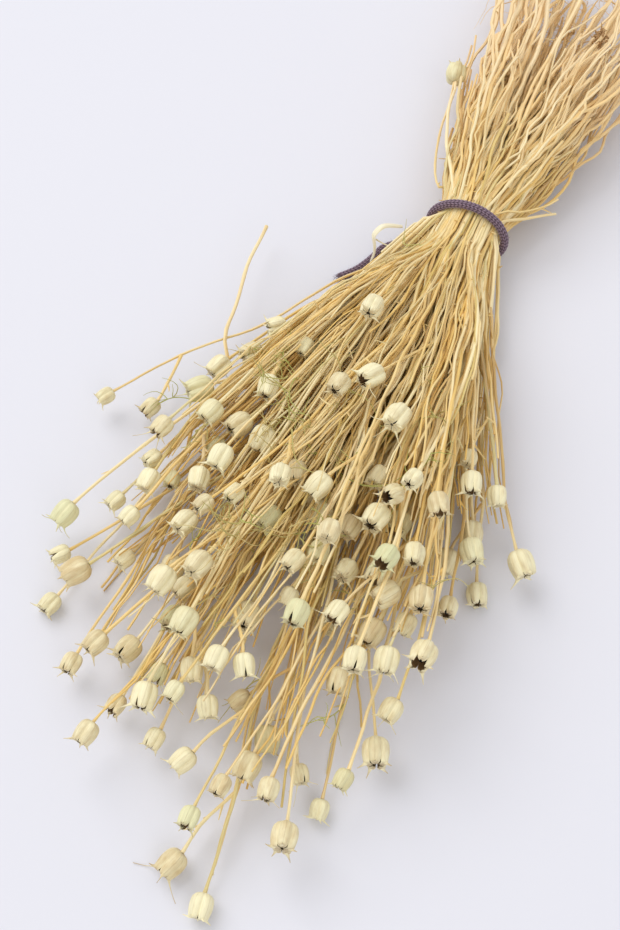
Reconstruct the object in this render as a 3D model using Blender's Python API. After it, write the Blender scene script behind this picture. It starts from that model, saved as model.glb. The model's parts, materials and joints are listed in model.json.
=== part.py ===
"""A tied bunch of dried nigella, lying down: stalks with five-lobed seed pods in a knitted band.

Metres, +Z up. The origin is the flat underside of the band. The pods point to -Y and the roots to +Y.
Each plant is one spray: a main stem that forks into two or three stalks before the band. The stalks pass
through the band side by side, fan out beyond it, are bent clear of each other and end in pods.
"""

import math

import bpy
import numpy as np

MM = 0.001
SEED = 21

# The band round the bunch, its knot and its loose end
BAND_THICK = 4.8 * MM
BAND_HALF_WIDTH = 16.8 * MM  # of the hole through the band, across the bunch
BAND_HALF_HEIGHT = 13.8 * MM
BAND_FLAT = 0.6 * MM  # how far the underside is pressed flat
BAND_LEAN = 4.0 * MM  # how far the top of the band leans towards the roots
BAND_CORNERS, BAND_SIDES = 30, 8
BAND_MIDDLE = BAND_THICK - BAND_FLAT + BAND_HALF_HEIGHT  # height of the middle of the hole
KNOT_RADIUS, KNOT_BEARING = 4.0 * MM, 222.0  # the knot sits on the band at its lower left
KNOT_OFFSET = (-1.5, -2.0, -1.0)  # in millimetres
# The loose end from the knot outwards, in millimetres: it drops to the surface and lies on it
LOOSE_END_ROUTE = (
    (-19.4, -4.8, 5.9), (-25.5, -6.6, 3.4), (-32.0, -7.0, 2.2), (-37.0, -12.0, 2.2),
    (-40.0, -21.0, 2.2), (-44.0, -30.0, 2.2), (-50.0, -37.5, 2.2),
)
LOOSE_END_THICK = 4.4 * MM
LOOSE_END_SPACING = 5.0 * MM  # between the points along its tube

# Stalks
PLANTS = 36
STALKS_IN_BAND = 84  # two or three for each plant
SITE_PITCH = 2.8 * MM  # between the stalks in the band
STALK_SIDES = 3
ROOT_RADIUS, BAND_STALK_RADIUS, NECK_RADIUS = 1.6 * MM, 1.15 * MM, 0.85 * MM
BRANCH_RADIUS, BARE_RADIUS = 0.95 * MM, 1.0 * MM
STRAIGHT = 10.0 * MM  # the stalks run straight this far on both sides of the band's middle
FIRST_STEP, STEP = 14.0 * MM, 45.0 * MM  # lengths of a stalk's pieces, next to the band and beyond
BOW, RISE = 0.035, 0.02  # bow of a stalk sideways and upwards, as shares of its length
WOBBLE = 1.8 * MM

# The root side
ROOT_REACH = (144.0 * MM, 206.0 * MM)
ROOT_SPREAD = 3.6  # how much wider the root ends lie than the stalks in the band
ROOT_LEAN = 6.0 * MM  # how far the root ends lie to +X
ROOT_SCATTER, ROOT_HEIGHT = 7.0 * MM, (6.0 * MM, 50.0 * MM)
FAR_FORK, NEAR_FORK = (98.0 * MM, 126.0 * MM), (56.0 * MM, 78.0 * MM)  # a plant's forks, from the band

# Pods
POD_LENGTH, POD_RADIUS = 12.0 * MM, 5.3 * MM
POD_SIZES = (0.70, 1.08)
LOBES = 5
# Rings of a pod from the stalk to the rim: share of the length, then of the radius on a lobe and in a groove
POD_RINGS = ((0.09, 0.62, 0.52), (0.44, 1.03, 0.90), (0.80, 0.82, 0.60))
BEAK_AT, BEAK_RADIUS, HOLLOW_AT = 1.03, 0.72, 0.80
NOD, DROOP = 0.12, 0.06  # how far a pod turns off its stalk's line, at random and downwards

# Pods that stand out at the edge and on top of the bunch: across, along and up, in millimetres
STANDING_OUT = (
    (-118, -150, 12), (-41, -72, 32), (-17, -79, 48), (-39, -104, 36), (-54, -96, 26), (-64, -107, 20),
    (-76, -117, 16), (-74, -136, 22), (-62, -152, 37), (-48, -151, 33), (-81, -175, 17), (-72, -187, 25),
    (-88, -197, 13), (-103, -214, 18), (-98, -227, 9), (-86, -236, 17), (-93, -249, 4), (-75, -208, 25),
    (-68, -221, 13), (-60, -264, 26), (-69, -272, 12), (-51, -256, 11), (-46, -298, 24), (-44, -280, 12),
    (-33, -275, 22), (-23, -286, 12), (-20, -272, 32), (6, -312, 22), (12, -297, 29), (17, -284, 20),
    (22, -336, 4), (29, -290, 25), (42, -304, 23), (36, -276, 12), (48, -283, 4), (54, -276, 27),
    (61, -257, 14), (61, -246, 36), (63, -222, 40), (54, -201, 42), (64, -189, 20), (72, -171, 4),
    (63, -164, 24), (85, -155, 15), (60, -149, 11), (65, -134, 25), (54, -139, 37), (47, -164, 55),
    (33, -160, 57), (26, -173, 47), (37, -193, 53), (48, -184, 43), (13, -195, 56), (3, -208, 49),
    (16, -131, 53), (-12, -125, 50), (-42, -198, 46), (-33, -186, 39), (-46, -174, 44), (-45, -233, 37),
    (-28, -246, 38), (-14, -253, 35), (14, -229, 52), (42, -237, 49), (52, -228, 38),
)
# The other pods lie inside the fan's edge, given by bearing in degrees and reach in millimetres
FAN_EDGE = ((-27, 222), (-20, 256), (-8, 288), (8, 290), (13, 252), (22, 178))
NEAR_REACH, FILL_HEIGHT = 150.0 * MM, (7.5 * MM, 34.0 * MM)
POD_SPACING = 14.5 * MM
# A side pod ends short of its stalk's pod and out to one side. Its branch leaves the stalk further back.
SIDE_POD_SHORT, SIDE_POD_OUT = (6.0 * MM, 26.0 * MM), (11.0 * MM, 16.0 * MM)
SIDE_FORK_BACK, SIDE_POD_SIZE, SIDE_TILT = 52.0 * MM, 0.95, 0.7

# A stalk that turns back towards the roots with a pod, and a bare broken one, in millimetres
TURNED_BACK = ((-21, 19, 22), (-29, 33, 20), (-35, 53, 19), (-37, 74, 19))
TURNED_BACK_POD = (-42, 96, 20)
BARE_STALK = ((-82, -97, 17), (-88, -64, 15), (-92, -31, 13))

# Bending clear
GAP = 0.7 * MM  # aimed at between sprays
POD_ROOM, POD_ROOM_SPAN = 6.2 * MM, (0.42, 0.72)  # radius of a pod's room, and its stretch along the pod
ROUNDS, LOOK_AGAIN, LOOK_AROUND = 420, 10, 7.0 * MM
EASE, EASE_UNTIL, PUSH = 0.12, 0.85, 1.3
LOOSELY_HELD, POD_HELD, STRAY_HELD = 0.5, 0.6, 0.4
NO_FORK = 9  # stands for the steps from a fork, on a stalk that has none

STRAW = (0.72, 0.58, 0.34)
BAND_COLOUR = (0.13, 0.09, 0.13)


def blend(low_high, share):
    return low_high[0] + (low_high[1] - low_high[0]) * share


def unit(vector):
    return vector / np.linalg.norm(vector)


class Bunch:
    """The points of all stalks, and each stalk as a list of point numbers.
    A branch starts at a point of its parent."""

    def __init__(self):
        self.points = []
        self.freedom = []
        self.stalks = []

    def point(self, place, freedom=1.0):
        self.points.append(np.array(place, float))
        self.freedom.append(freedom)
        return len(self.points) - 1

    def stalk(self, plant, points, radii, pod_size=None, parent=None):
        """A stalk through those points. With a pod, its last two points are the pod's neck and tip."""
        made = {"plant": plant, "points": points, "radii": radii, "pod": pod_size, "parent": parent}
        self.stalks.append(made)
        return len(self.stalks) - 1


def band_sites():
    """Places of the stalks in the band, on a six-sided grid: columns from -X to +X, each upwards."""
    half_wide = BAND_HALF_WIDTH - BAND_STALK_RADIUS
    half_high = BAND_HALF_HEIGHT - BAND_STALK_RADIUS
    found = []
    for column in range(-9, 10):
        for row in range(-7, 8):
            across = column * SITE_PITCH * math.sqrt(3) / 2
            up = (row + 0.5 * (column % 2)) * SITE_PITCH
            found.append((math.hypot(across / half_wide, up / half_high), column, across, up))
    kept = sorted(found)[:STALKS_IN_BAND]
    columns = sorted({site[1] for site in kept})
    return [sorted((across, up) for _, at, across, up in kept if at == column) for column in columns]


def pod_places(random):
    """The pods that stand out, then others drawn inside the fan's edge, each well clear of those before."""
    places = [np.array(place, float) * MM for place in STANDING_OUT]
    while len(places) < STALKS_IN_BAND:
        bearing = blend((FAN_EDGE[0][0], FAN_EDGE[-1][0]), random.random())
        edge = np.interp(bearing, *zip(*FAN_EDGE)) * MM
        reach = blend((NEAR_REACH, edge), random.random())
        across = reach * math.sin(math.radians(bearing))
        along = reach * math.cos(math.radians(bearing))
        place = np.array((across, -along, blend(FILL_HEIGHT, random.random())))
        if min(np.linalg.norm(place - other) for other in places) > POD_SPACING:
            places.append(place)
    return places


def pods_to_sites(places, columns):
    """Pairs each place in the band with a pod so that few stalks cross: bearings go to columns and
    heights to rows.
    The pairs run up one column and down the next, so neighbours in the list are neighbours in the band."""
    by_bearing = sorted(places, key=lambda place: math.atan2(place[0], -place[1]))
    pairs = []
    for turn, column in enumerate(columns):
        pods = [by_bearing.pop(0) for _ in column]
        pods.sort(key=lambda place: place[2] / np.linalg.norm(place[:2]))
        run = list(zip(column, pods))
        pairs += run if turn % 2 == 0 else run[::-1]
    return pairs


def neck_and_tip(before, pod, size, random):
    """A pod's two ends round its middle: it carries on the line of its stalk and nods a little."""
    along = unit(unit(pod - before) + random.normal(0, NOD, 3) - np.array((0, 0, DROOP)))
    half = 0.5 * POD_LENGTH * size
    return pod - along * half, pod + along * half


def outward_points(start, pod, random):
    """Points of a stalk between the band and its pod, bowed to one side and a little upwards."""
    length = np.linalg.norm(pod - start)
    pieces = max(2, round((length - FIRST_STEP) / STEP))
    side = np.cross(unit(pod - start), (0, 0, 1))
    bow = side * random.normal(0, BOW) * length
    bow = bow + np.array((0, 0, abs(random.normal(0, RISE)) * length))
    first = FIRST_STEP / length
    places = [start + (pod - start) * first * 0.7 - np.array((0, 0.3 * FIRST_STEP, 0))]
    for piece in range(1, pieces):
        share = first + (1 - first) * piece / pieces
        wobble = random.normal(0, WOBBLE, 3)
        places.append(start + (pod - start) * share + bow * math.sin(math.pi * share) + wobble)
    return places


def tapered(first, last, count):
    return [first + (last - first) * number / (count - 1) for number in range(count)]


def add_stalk(bunch, plant, start, pair, size, random, parent):
    """A stalk from start, point numbers on the root side, through its place in the band to its pod."""
    (across, up), pod = pair
    inside = np.array((across, STRAIGHT, BAND_MIDDLE + up))
    outside = np.array((across, -STRAIGHT, BAND_MIDDLE + up))
    numbers = start + [bunch.point(inside, 0), bunch.point(outside, 0)]
    between = outward_points(outside, pod, random)
    numbers += [bunch.point(place) for place in between]
    neck, tip = neck_and_tip(between[-1], pod, size, random)
    numbers += [bunch.point(neck, POD_HELD), bunch.point(tip, POD_HELD)]
    first_radius = ROOT_RADIUS if parent is None else BAND_STALK_RADIUS
    radii = tapered(first_radius, BAND_STALK_RADIUS, len(start) + 1)
    radii += tapered(BAND_STALK_RADIUS, NECK_RADIUS, len(between) + 2)
    return bunch.stalk(plant, numbers, radii, size, parent)


def add_side_pod(bunch, plant, main, random):
    """A pod on a short branch that leaves a stalk on the pod side, leaning towards the bunch's middle."""
    numbers = bunch.stalks[main]["points"]
    neck = bunch.points[numbers[-2]]
    outer = [number for number in numbers[:-2] if bunch.points[number][1] < -1.1 * STRAIGHT]
    off = {number: abs(np.linalg.norm(bunch.points[number] - neck) - SIDE_FORK_BACK) for number in outer}
    fork_number = min(outer, key=off.get)
    fork = bunch.points[fork_number]
    along = unit(neck - fork)
    side = unit(np.cross(along, (0, 0, 1)))
    side *= -math.copysign(1, side[0] * neck[0])
    out = blend(SIDE_POD_OUT, random.random())
    lift = np.array((0, 0, random.uniform(-SIDE_TILT, SIDE_TILT)))
    pod = neck - along * blend(SIDE_POD_SHORT, random.random()) + (side + lift) * out
    pod[2] = max(pod[2], POD_ROOM)
    size = blend(POD_SIZES, random.random()) * SIDE_POD_SIZE
    middle = (fork + pod) / 2 + side * 0.1 * out
    neck, tip = neck_and_tip(middle, pod, size, random)
    points = [fork_number, bunch.point(middle), bunch.point(neck), bunch.point(tip)]
    bunch.stalk(plant, points, tapered(BRANCH_RADIUS, NECK_RADIUS, 3), size, main)


def before_band(bunch, fork, site):
    """A stalk's point shortly before the band, on its way from a fork to its place."""
    place = np.array((site[0], STRAIGHT, BAND_MIDDLE + site[1]))
    way = bunch.points[fork] - place
    return bunch.point(place + way * (FIRST_STEP / np.linalg.norm(way)))


def root_points(bunch, pairs, random):
    """Points of a plant's main stem from its root end past its two forks."""
    across = sum(site[0] for site, _ in pairs) / len(pairs)
    up = sum(site[1] for site, _ in pairs) / len(pairs)
    reach = blend(ROOT_REACH, random.random())
    lift = blend(ROOT_HEIGHT, 0.5 + 0.5 * up / BAND_HALF_HEIGHT) + random.normal(0, 0.5 * ROOT_SCATTER)
    end_across = ROOT_LEAN + across * ROOT_SPREAD + random.normal(0, ROOT_SCATTER)
    end = np.array((end_across, reach, max(lift, 1.2 * ROOT_RADIUS)))
    gate = np.array((across, STRAIGHT, BAND_MIDDLE + up))
    far, near = blend(FAR_FORK, random.random()) / reach, blend(NEAR_FORK, random.random()) / reach
    numbers = [bunch.point(end, LOOSELY_HELD)]
    for share in ((far + 1) / 2, far, near):
        numbers.append(bunch.point(gate + (end - gate) * share + random.normal(0, WOBBLE, 3)))
    return numbers


def add_plant(bunch, plant, pairs, random):
    """A main stem from its root end, with the plant's other stalks forking off it, and a side pod."""
    sizes = [blend(POD_SIZES, random.random()) for _ in pairs]
    root = root_points(bunch, pairs, random)
    start = root + [before_band(bunch, root[-1], pairs[0][0])]
    main = add_stalk(bunch, plant, start, pairs[0], sizes[0], random, None)
    for fork, pair, size in zip(root[2:], pairs[1:], sizes[1:]):
        near = before_band(bunch, fork, pair[0])
        halfway = (bunch.points[fork] + bunch.points[near]) / 2 + random.normal(0, WOBBLE, 3)
        add_stalk(bunch, plant, [fork, bunch.point(halfway), near], pair, size, random, main)
    add_side_pod(bunch, plant, main, random)


def add_stray(bunch, route, radius, pod=None):
    """A stalk on its own way through the places of a route, from the nearest point of any other stalk."""
    places = [np.array(place, float) * MM for place in route]
    found = []
    for parent, stalk in enumerate(bunch.stalks):
        for number in stalk["points"][1:-1]:
            found.append((np.linalg.norm(bunch.points[number] - places[0]), parent, number))
    _, parent, root = min(found)
    numbers = [root] + [bunch.point(place, STRAY_HELD) for place in places]
    radii = [radius] * len(numbers)
    if pod:
        middle = np.array(pod, float) * MM
        half = 0.5 * POD_LENGTH * unit(middle - places[-1])
        numbers += [bunch.point(middle - half, STRAY_HELD), bunch.point(middle + half, STRAY_HELD)]
        radii.append(radius)
    bunch.stalk(bunch.stalks[parent]["plant"], numbers, radii, 1.0 if pod else None, parent)


def lay_out():
    """The whole bunch before it is bent clear."""
    random = np.random.default_rng(SEED)
    bunch = Bunch()
    pairs = pods_to_sites(pod_places(random), band_sites())
    threes = STALKS_IN_BAND - 2 * PLANTS
    for plant in range(PLANTS):
        count = 3 if (plant * threes) % PLANTS < threes else 2
        add_plant(bunch, plant, [pairs.pop(0) for _ in range(count)], random)
    add_stray(bunch, TURNED_BACK, NECK_RADIUS, TURNED_BACK_POD)
    add_stray(bunch, BARE_STALK, BARE_RADIUS)
    return bunch


def loose_end_points():
    """A smooth curve through the loose end's route."""
    route = [np.array(place) * MM for place in LOOSE_END_ROUTE]
    ends = [2 * route[0] - route[1]] + route + [2 * route[-1] - route[-2]]
    points = []
    for before, start, end, after in zip(ends, ends[1:], ends[2:], ends[3:]):
        pieces = max(1, round(np.linalg.norm(end - start) / LOOSE_END_SPACING))
        points += [through(before, start, end, after, piece / pieces) for piece in range(pieces)]
    return points + [route[-1]]


def through(before, start, end, after, share):
    """A point of the smooth curve between start and end."""
    return 0.5 * (
        2 * start
        + (end - before) * share
        + (2 * before - 5 * start + 4 * end - after) * share**2
        + (3 * start - before - 3 * end + after) * share**3
    )


def nearest_shares(first, second):
    """For pairs of rods, how far along each one the nearest points lie."""
    (a, b), (c, d) = first, second
    along, across, between = b - a, d - c, a - c
    aa, cc, ac = (along**2).sum(1), (across**2).sum(1), (along * across).sum(1)
    ab, cb = (along * between).sum(1), (across * between).sum(1)
    spread = aa * cc - ac**2
    share = np.clip((ac * cb - ab * cc) / np.where(spread > 1e-18, spread, 1e18), 0, 1)
    other = np.clip((ac * share + cb) / cc, 0, 1)
    return np.clip((ac * other - ab) / aa, 0, 1), other


class Clearing:
    """Bends the stalks clear of each other. Each piece of a stalk and each pod is a rod with round ends."""

    def __init__(self, bunch):
        loose = [bunch.point(place, 0) for place in loose_end_points()]
        self.points = np.array(bunch.points)
        self.freedom = np.array(bunch.freedom)[:, None]
        rods = [rod for stalk in bunch.stalks for rod in self.rods_of(stalk)]
        half = 0.5 * LOOSE_END_THICK
        rods += [(a, b, 0, 1, half, half, -1, NO_FORK) for a, b in zip(loose, loose[1:])]
        rods = np.array(rods)
        self.one, self.two = rods[:, 0].astype(int), rods[:, 1].astype(int)
        self.begin, self.finish, self.radius, body, plant, steps = rods[:, 2:].T
        self.low = np.zeros(len(self.points))
        np.maximum.at(self.low, self.one, body)
        np.maximum.at(self.low, self.two, body)
        self.pairs = self.pairs_to_part(plant, steps)
        threes = [zip(*(stalk["points"][skip:] for skip in range(3))) for stalk in bunch.stalks]
        self.bends = np.array([three for run in threes for three in run])
        self.resting = self.bend_now()
        pods = [stalk for stalk in bunch.stalks if stalk["pod"]]
        self.necks, self.tips = (np.array([stalk["points"][end] for stalk in pods]) for end in (-2, -1))
        self.lengths = np.array([stalk["pod"] for stalk in pods]) * POD_LENGTH

    @staticmethod
    def rods_of(stalk):
        """Each rod: two points, its stretch between them, room, body radius, plant, steps from the fork."""
        points, radii, plant, pod = stalk["points"], stalk["radii"], stalk["plant"], stalk["pod"]
        rods = []
        for at, radius in enumerate(max(two) for two in zip(radii, radii[1:])):
            steps = NO_FORK if stalk["parent"] is None else at
            rods.append((points[at], points[at + 1], 0, 1, radius, radius, plant, steps))
        if pod:
            widest = POD_RADIUS * max(lobe for _, lobe, _ in POD_RINGS)
            room = (*POD_ROOM_SPAN, POD_ROOM * pod, widest * pod)
            rods.append((points[-2], points[-1], *room, plant, NO_FORK))
        return rods

    def pairs_to_part(self, plant, steps):
        """All pairs of rods but those that share a point or meet near a fork of their plant."""
        left, right = np.triu_indices(len(self.one), 1)
        apart = (plant[left] != plant[right]) | (np.minimum(steps[left], steps[right]) > 1)
        for end in (self.one, self.two):
            apart &= (end[left] != self.one[right]) & (end[left] != self.two[right])
        return left[apart], right[apart]

    def bend_now(self):
        before, here, after = (self.points[self.bends[:, place]] for place in range(3))
        return before + after - 2 * here

    def ends(self):
        first, span = self.points[self.one], self.points[self.two] - self.points[self.one]
        return first + self.begin[:, None] * span, first + self.finish[:, None] * span

    def look_around(self):
        """Keeps the pairs that are near enough to touch soon."""
        start, end = self.ends()
        middle, reach = (start + end) / 2, np.linalg.norm(end - start, axis=1) / 2 + self.radius
        left, right = self.pairs
        distance = np.linalg.norm(middle[left] - middle[right], axis=1)
        near = distance < reach[left] + reach[right] + LOOK_AROUND
        self.near = left[near], right[near]

    def push_apart(self):
        start, end = self.ends()
        left, right = self.near
        share, other = nearest_shares((start[left], end[left]), (start[right], end[right]))
        away = start[left] + share[:, None] * (end - start)[left]
        away -= start[right] + other[:, None] * (end - start)[right]
        distance = np.linalg.norm(away, axis=1)
        short = self.radius[left] + self.radius[right] + GAP - distance
        hit = short > 0
        push = away[hit] * (0.5 * short[hit] / distance[hit])[:, None]
        move, count = np.zeros_like(self.points), np.zeros(len(self.points))
        for way, rods, along in ((push, left[hit], share[hit]), (-push, right[hit], other[hit])):
            at = self.begin[rods] + along * (self.finish[rods] - self.begin[rods])
            for number, weight in ((self.one[rods], 1 - at), (self.two[rods], at)):
                np.add.at(move, number, way * weight[:, None])
                np.add.at(count, number, weight)
        self.points += PUSH * self.freedom * move / np.maximum(count, 0.5)[:, None]

    def ease_bends(self):
        """Lets each stalk spring back towards the bend it had."""
        ease = np.zeros_like(self.points)
        np.add.at(ease, self.bends[:, 1], EASE * (self.bend_now() - self.resting))
        self.points += self.freedom * ease

    def keep_pods(self):
        """Keeps the pods' lengths, and everything above the surface."""
        between = self.points[self.tips] - self.points[self.necks]
        span = np.linalg.norm(between, axis=1)
        change = between * ((span - self.lengths) / span / 2)[:, None]
        self.points[self.necks] += change
        self.points[self.tips] -= change
        free = self.freedom[:, 0] > 0
        self.points[free, 2] = np.maximum(self.points[free, 2], self.low[free])

    def run(self):
        for turn in range(ROUNDS):
            if turn % LOOK_AGAIN == 0:
                self.look_around()
            self.push_apart()
            if turn < ROUNDS * EASE_UNTIL:
                self.ease_bends()
            self.keep_pods()
        return list(self.points)


def frames_along(points):
    """Two directions across a stalk at each point, turned as little as possible from one to the next."""
    ends = [points[0]] + list(points) + [points[-1]]
    side = None
    frames = []
    for before, after in zip(ends, ends[2:]):
        tangent = unit(after - before)
        side = np.cross(tangent, (0.1, 0.2, 1.0)) if side is None else side
        side = unit(side - tangent * np.dot(side, tangent))
        frames.append((side, np.cross(tangent, side)))
    return frames


def ring(middle, side, up, radius, count, turn=0.0):
    angles = (turn + 2 * math.pi * number / count for number in range(count))
    return [middle + (side * math.cos(angle) + up * math.sin(angle)) * radius for angle in angles]


def wall(first, count, rings):
    """Faces between rings of count points each, numbered from first on."""
    faces = []
    for step in range(rings - 1):
        for number in range(count):
            a, b = first + step * count + number, first + step * count + (number + 1) % count
            faces.append((a, b, b + count, a + count))
    return faces


def add_pod(vertices, faces, end_ring, neck, tip):
    """Carries a stalk's open end on into a closed pod. end_ring holds the vertex numbers of that end."""
    span = tip - neck
    radius = POD_RADIUS * np.linalg.norm(span) / POD_LENGTH
    side = vertices[end_ring[0]] - neck
    side = unit(side - unit(span) * np.dot(side, unit(span)))
    up = np.cross(unit(span), side)
    count = 2 * LOBES
    directions = ring(np.zeros(3), side, up, radius, count)
    first = len(vertices)
    for share, lobe, groove in POD_RINGS:
        widths = (lobe, groove) * LOBES
        vertices += [neck + span * share + way * width for way, width in zip(directions, widths)]
    vertices += ring(neck + span * BEAK_AT, side, up, radius * BEAK_RADIUS, LOBES)
    vertices.append(neck + span * HOLLOW_AT)
    faces += pod_base(end_ring, first, count) + wall(first, count, len(POD_RINGS))
    faces += pod_crown(first + (len(POD_RINGS) - 1) * count, count)


def pod_base(end_ring, first, count):
    """Faces from the stalk's end to the pod's first ring, which has more points."""
    sides = len(end_ring)
    faces = []
    for number in range(count):
        here, there = (end_ring[place * sides // count % sides] for place in (number, number + 1))
        after = first + (number + 1) % count
        faces.append((here, after, first + number))
        if here != there:
            faces.append((here, there, after))
    return faces


def pod_crown(rim, count):
    """Faces from the pod's last ring up to the beaks, and down from them to the hollow between."""
    beaks = rim + count
    middle = beaks + LOBES
    faces = []
    for lobe in range(LOBES):
        ridge, beak = rim + 2 * lobe, beaks + lobe
        before, after = rim + (2 * lobe - 1) % count, rim + 2 * lobe + 1
        faces += [(before, ridge, beak), (ridge, after, beak), (before, beak, middle), (beak, after, middle)]
    return faces


def new_object(name, vertices, faces, material):
    mesh = bpy.data.meshes.new(name)
    mesh.from_pydata([tuple(place) for place in vertices], [], faces)
    mesh.materials.append(material)
    made = bpy.data.objects.new(name, mesh)
    bpy.context.scene.collection.objects.link(made)
    return made


def stalk_object(bunch, stalk, name, material):
    """One stalk with its pod, as a closed mesh."""
    points = [bunch.points[number] for number in stalk["points"]]
    stem = points[:-1] if stalk["pod"] else points
    vertices = []
    for place, radius, (side, up) in zip(stem, stalk["radii"], frames_along(stem)):
        vertices += ring(place, side, up, radius, STALK_SIDES)
    faces = [tuple(range(STALK_SIDES))[::-1]] + wall(0, STALK_SIDES, len(stem))
    end_ring = tuple(range(len(vertices) - STALK_SIDES, len(vertices)))
    if stalk["pod"]:
        add_pod(vertices, faces, end_ring, points[-2], points[-1])
    else:
        faces.append(end_ring)
    return new_object(name, vertices, faces, material)


def join(base, others, solver="EXACT"):
    """One Boolean union of base with the others, applied, and the others removed."""
    pieces = bpy.data.collections.new("To join")
    for other in others:
        pieces.objects.link(other)
    union = base.modifiers.new("Join", "BOOLEAN")
    union.operation = "UNION"
    union.operand_type = "COLLECTION"
    union.collection = pieces
    union.solver = solver
    with bpy.context.temp_override(object=base, active_object=base):
        bpy.ops.object.modifier_apply(modifier=union.name)
    for other in others:
        bpy.data.objects.remove(other)
    bpy.data.collections.remove(pieces)


def build_sprays(bunch, material):
    """One object for each plant. The exact solver leaves open edges where thin stalks fork."""
    for plant in range(PLANTS):
        stalks = [stalk for stalk in bunch.stalks if stalk["plant"] == plant]
        base, *others = [stalk_object(bunch, stalk, f"spray_{plant + 1:02d}", material) for stalk in stalks]
        join(base, others, "MANIFOLD")


def band_place(angle):
    """The middle of the band's cord at an angle round the bunch."""
    half_wide, half_high = BAND_HALF_WIDTH + BAND_THICK / 2, BAND_HALF_HEIGHT + BAND_THICK / 2
    up = half_high * math.sin(angle)
    lean = BAND_LEAN * (up + half_high) / (2 * half_high)
    return np.array((half_wide * math.cos(angle), lean, BAND_MIDDLE + up))


def build_band(material):
    """A ring of cord with a knot at its lower left and its underside pressed flat on the surface."""
    vertices = []
    for corner in range(BAND_CORNERS):
        place = band_place(2 * math.pi * corner / BAND_CORNERS - math.pi / 2)
        outward = unit((place - (0, 0, BAND_MIDDLE)) * (1, 0, 1))
        along = np.array((0, 1, 0))
        vertices += ring(place, outward, along, BAND_THICK / 2, BAND_SIDES, math.pi / BAND_SIDES)
    total = BAND_CORNERS * BAND_SIDES
    faces = [tuple(number % total for number in face) for face in wall(0, BAND_SIDES, BAND_CORNERS + 1)]
    band = new_object("tie_band", vertices, faces, material)
    knot_at = band_place(math.radians(KNOT_BEARING)) + np.array(KNOT_OFFSET) * MM
    bpy.ops.mesh.primitive_uv_sphere_add(segments=12, ring_count=8, radius=KNOT_RADIUS, location=knot_at)
    join(band, [bpy.context.object])
    for vertex in band.data.vertices:
        vertex.co.z = max(vertex.co.z, 0.0)
    band.data.shade_smooth()


def build_loose_end(material):
    """The band's loose end, a length of the same cord."""
    curve = bpy.data.curves.new("tie_end", "CURVE")
    curve.dimensions = "3D"
    curve.bevel_depth = LOOSE_END_THICK / 2
    curve.bevel_resolution = 2
    curve.use_fill_caps = True
    places = loose_end_points()
    spline = curve.splines.new("POLY")
    spline.points.add(len(places) - 1)
    for point, place in zip(spline.points, places):
        point.co = (*place, 1.0)
    curve.materials.append(material)
    bpy.context.scene.collection.objects.link(bpy.data.objects.new("tie_end", curve))


def plain_material(name, colour, roughness):
    material = bpy.data.materials.new(name)
    material.use_nodes = True
    surface = material.node_tree.nodes["Principled BSDF"]
    surface.inputs["Base Color"].default_value = (*colour, 1.0)
    surface.inputs["Roughness"].default_value = roughness
    return material


def main():
    for old in list(bpy.data.objects):
        bpy.data.objects.remove(old)
    bunch = lay_out()
    bunch.points = Clearing(bunch).run()
    build_sprays(bunch, plain_material("dry_stalk", STRAW, 0.7))
    yarn = plain_material("knitted_cord", BAND_COLOUR, 0.95)
    build_band(yarn)
    build_loose_end(yarn)


main()
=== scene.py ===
"""A tied bunch of dried nigella: ribbed stalks, split papery pods, thread leaves and a knitted band.

Metres, +Z up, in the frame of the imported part: the band's flat underside is the origin, the pods point
to -Y and the roots to +Y. The stalks run where the solids run: the bunch is laid out and bent clear by
the same rule.
"""

import functools
import json
import math

import bpy
import numpy as np
from bpy.props import FloatProperty, FloatVectorProperty, IntProperty, PointerProperty
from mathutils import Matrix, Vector

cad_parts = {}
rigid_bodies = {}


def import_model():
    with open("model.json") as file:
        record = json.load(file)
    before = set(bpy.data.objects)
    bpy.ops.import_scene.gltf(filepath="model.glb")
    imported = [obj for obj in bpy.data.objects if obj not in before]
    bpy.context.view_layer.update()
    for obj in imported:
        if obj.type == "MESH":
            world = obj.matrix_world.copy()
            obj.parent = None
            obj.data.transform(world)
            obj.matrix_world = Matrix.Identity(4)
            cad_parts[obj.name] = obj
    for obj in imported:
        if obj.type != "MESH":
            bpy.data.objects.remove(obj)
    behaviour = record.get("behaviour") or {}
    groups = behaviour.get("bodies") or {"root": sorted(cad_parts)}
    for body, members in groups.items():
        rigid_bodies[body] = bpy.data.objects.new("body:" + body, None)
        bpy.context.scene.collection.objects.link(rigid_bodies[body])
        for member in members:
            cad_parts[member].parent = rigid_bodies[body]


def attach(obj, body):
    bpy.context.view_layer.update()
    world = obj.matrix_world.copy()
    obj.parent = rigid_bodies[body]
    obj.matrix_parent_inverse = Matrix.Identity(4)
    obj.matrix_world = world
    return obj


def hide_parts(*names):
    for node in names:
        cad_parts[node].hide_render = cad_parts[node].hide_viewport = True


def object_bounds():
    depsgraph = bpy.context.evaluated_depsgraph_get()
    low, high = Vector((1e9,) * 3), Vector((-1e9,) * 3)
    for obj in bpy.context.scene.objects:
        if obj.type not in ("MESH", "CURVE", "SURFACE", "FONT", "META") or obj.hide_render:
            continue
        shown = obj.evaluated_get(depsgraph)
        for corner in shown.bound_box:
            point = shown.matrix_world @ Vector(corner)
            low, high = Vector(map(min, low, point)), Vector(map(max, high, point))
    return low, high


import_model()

bl_info = {
    "name": "Tied Nigella Bunch",
    "version": (1, 0, 0),
    "blender": (4, 5, 0),
    "location": "3D View > Sidebar > Nigella",
    "description": "Builds the stalks, pods, leaves and knitted band of a tied bunch of dried nigella",
    "category": "Object",
}

SOLID_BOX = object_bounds()
BODY = "root"
STALK_SLOT, CORD_SLOT = "dry_stalk", "knitted_cord"
MM = 0.001

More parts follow.
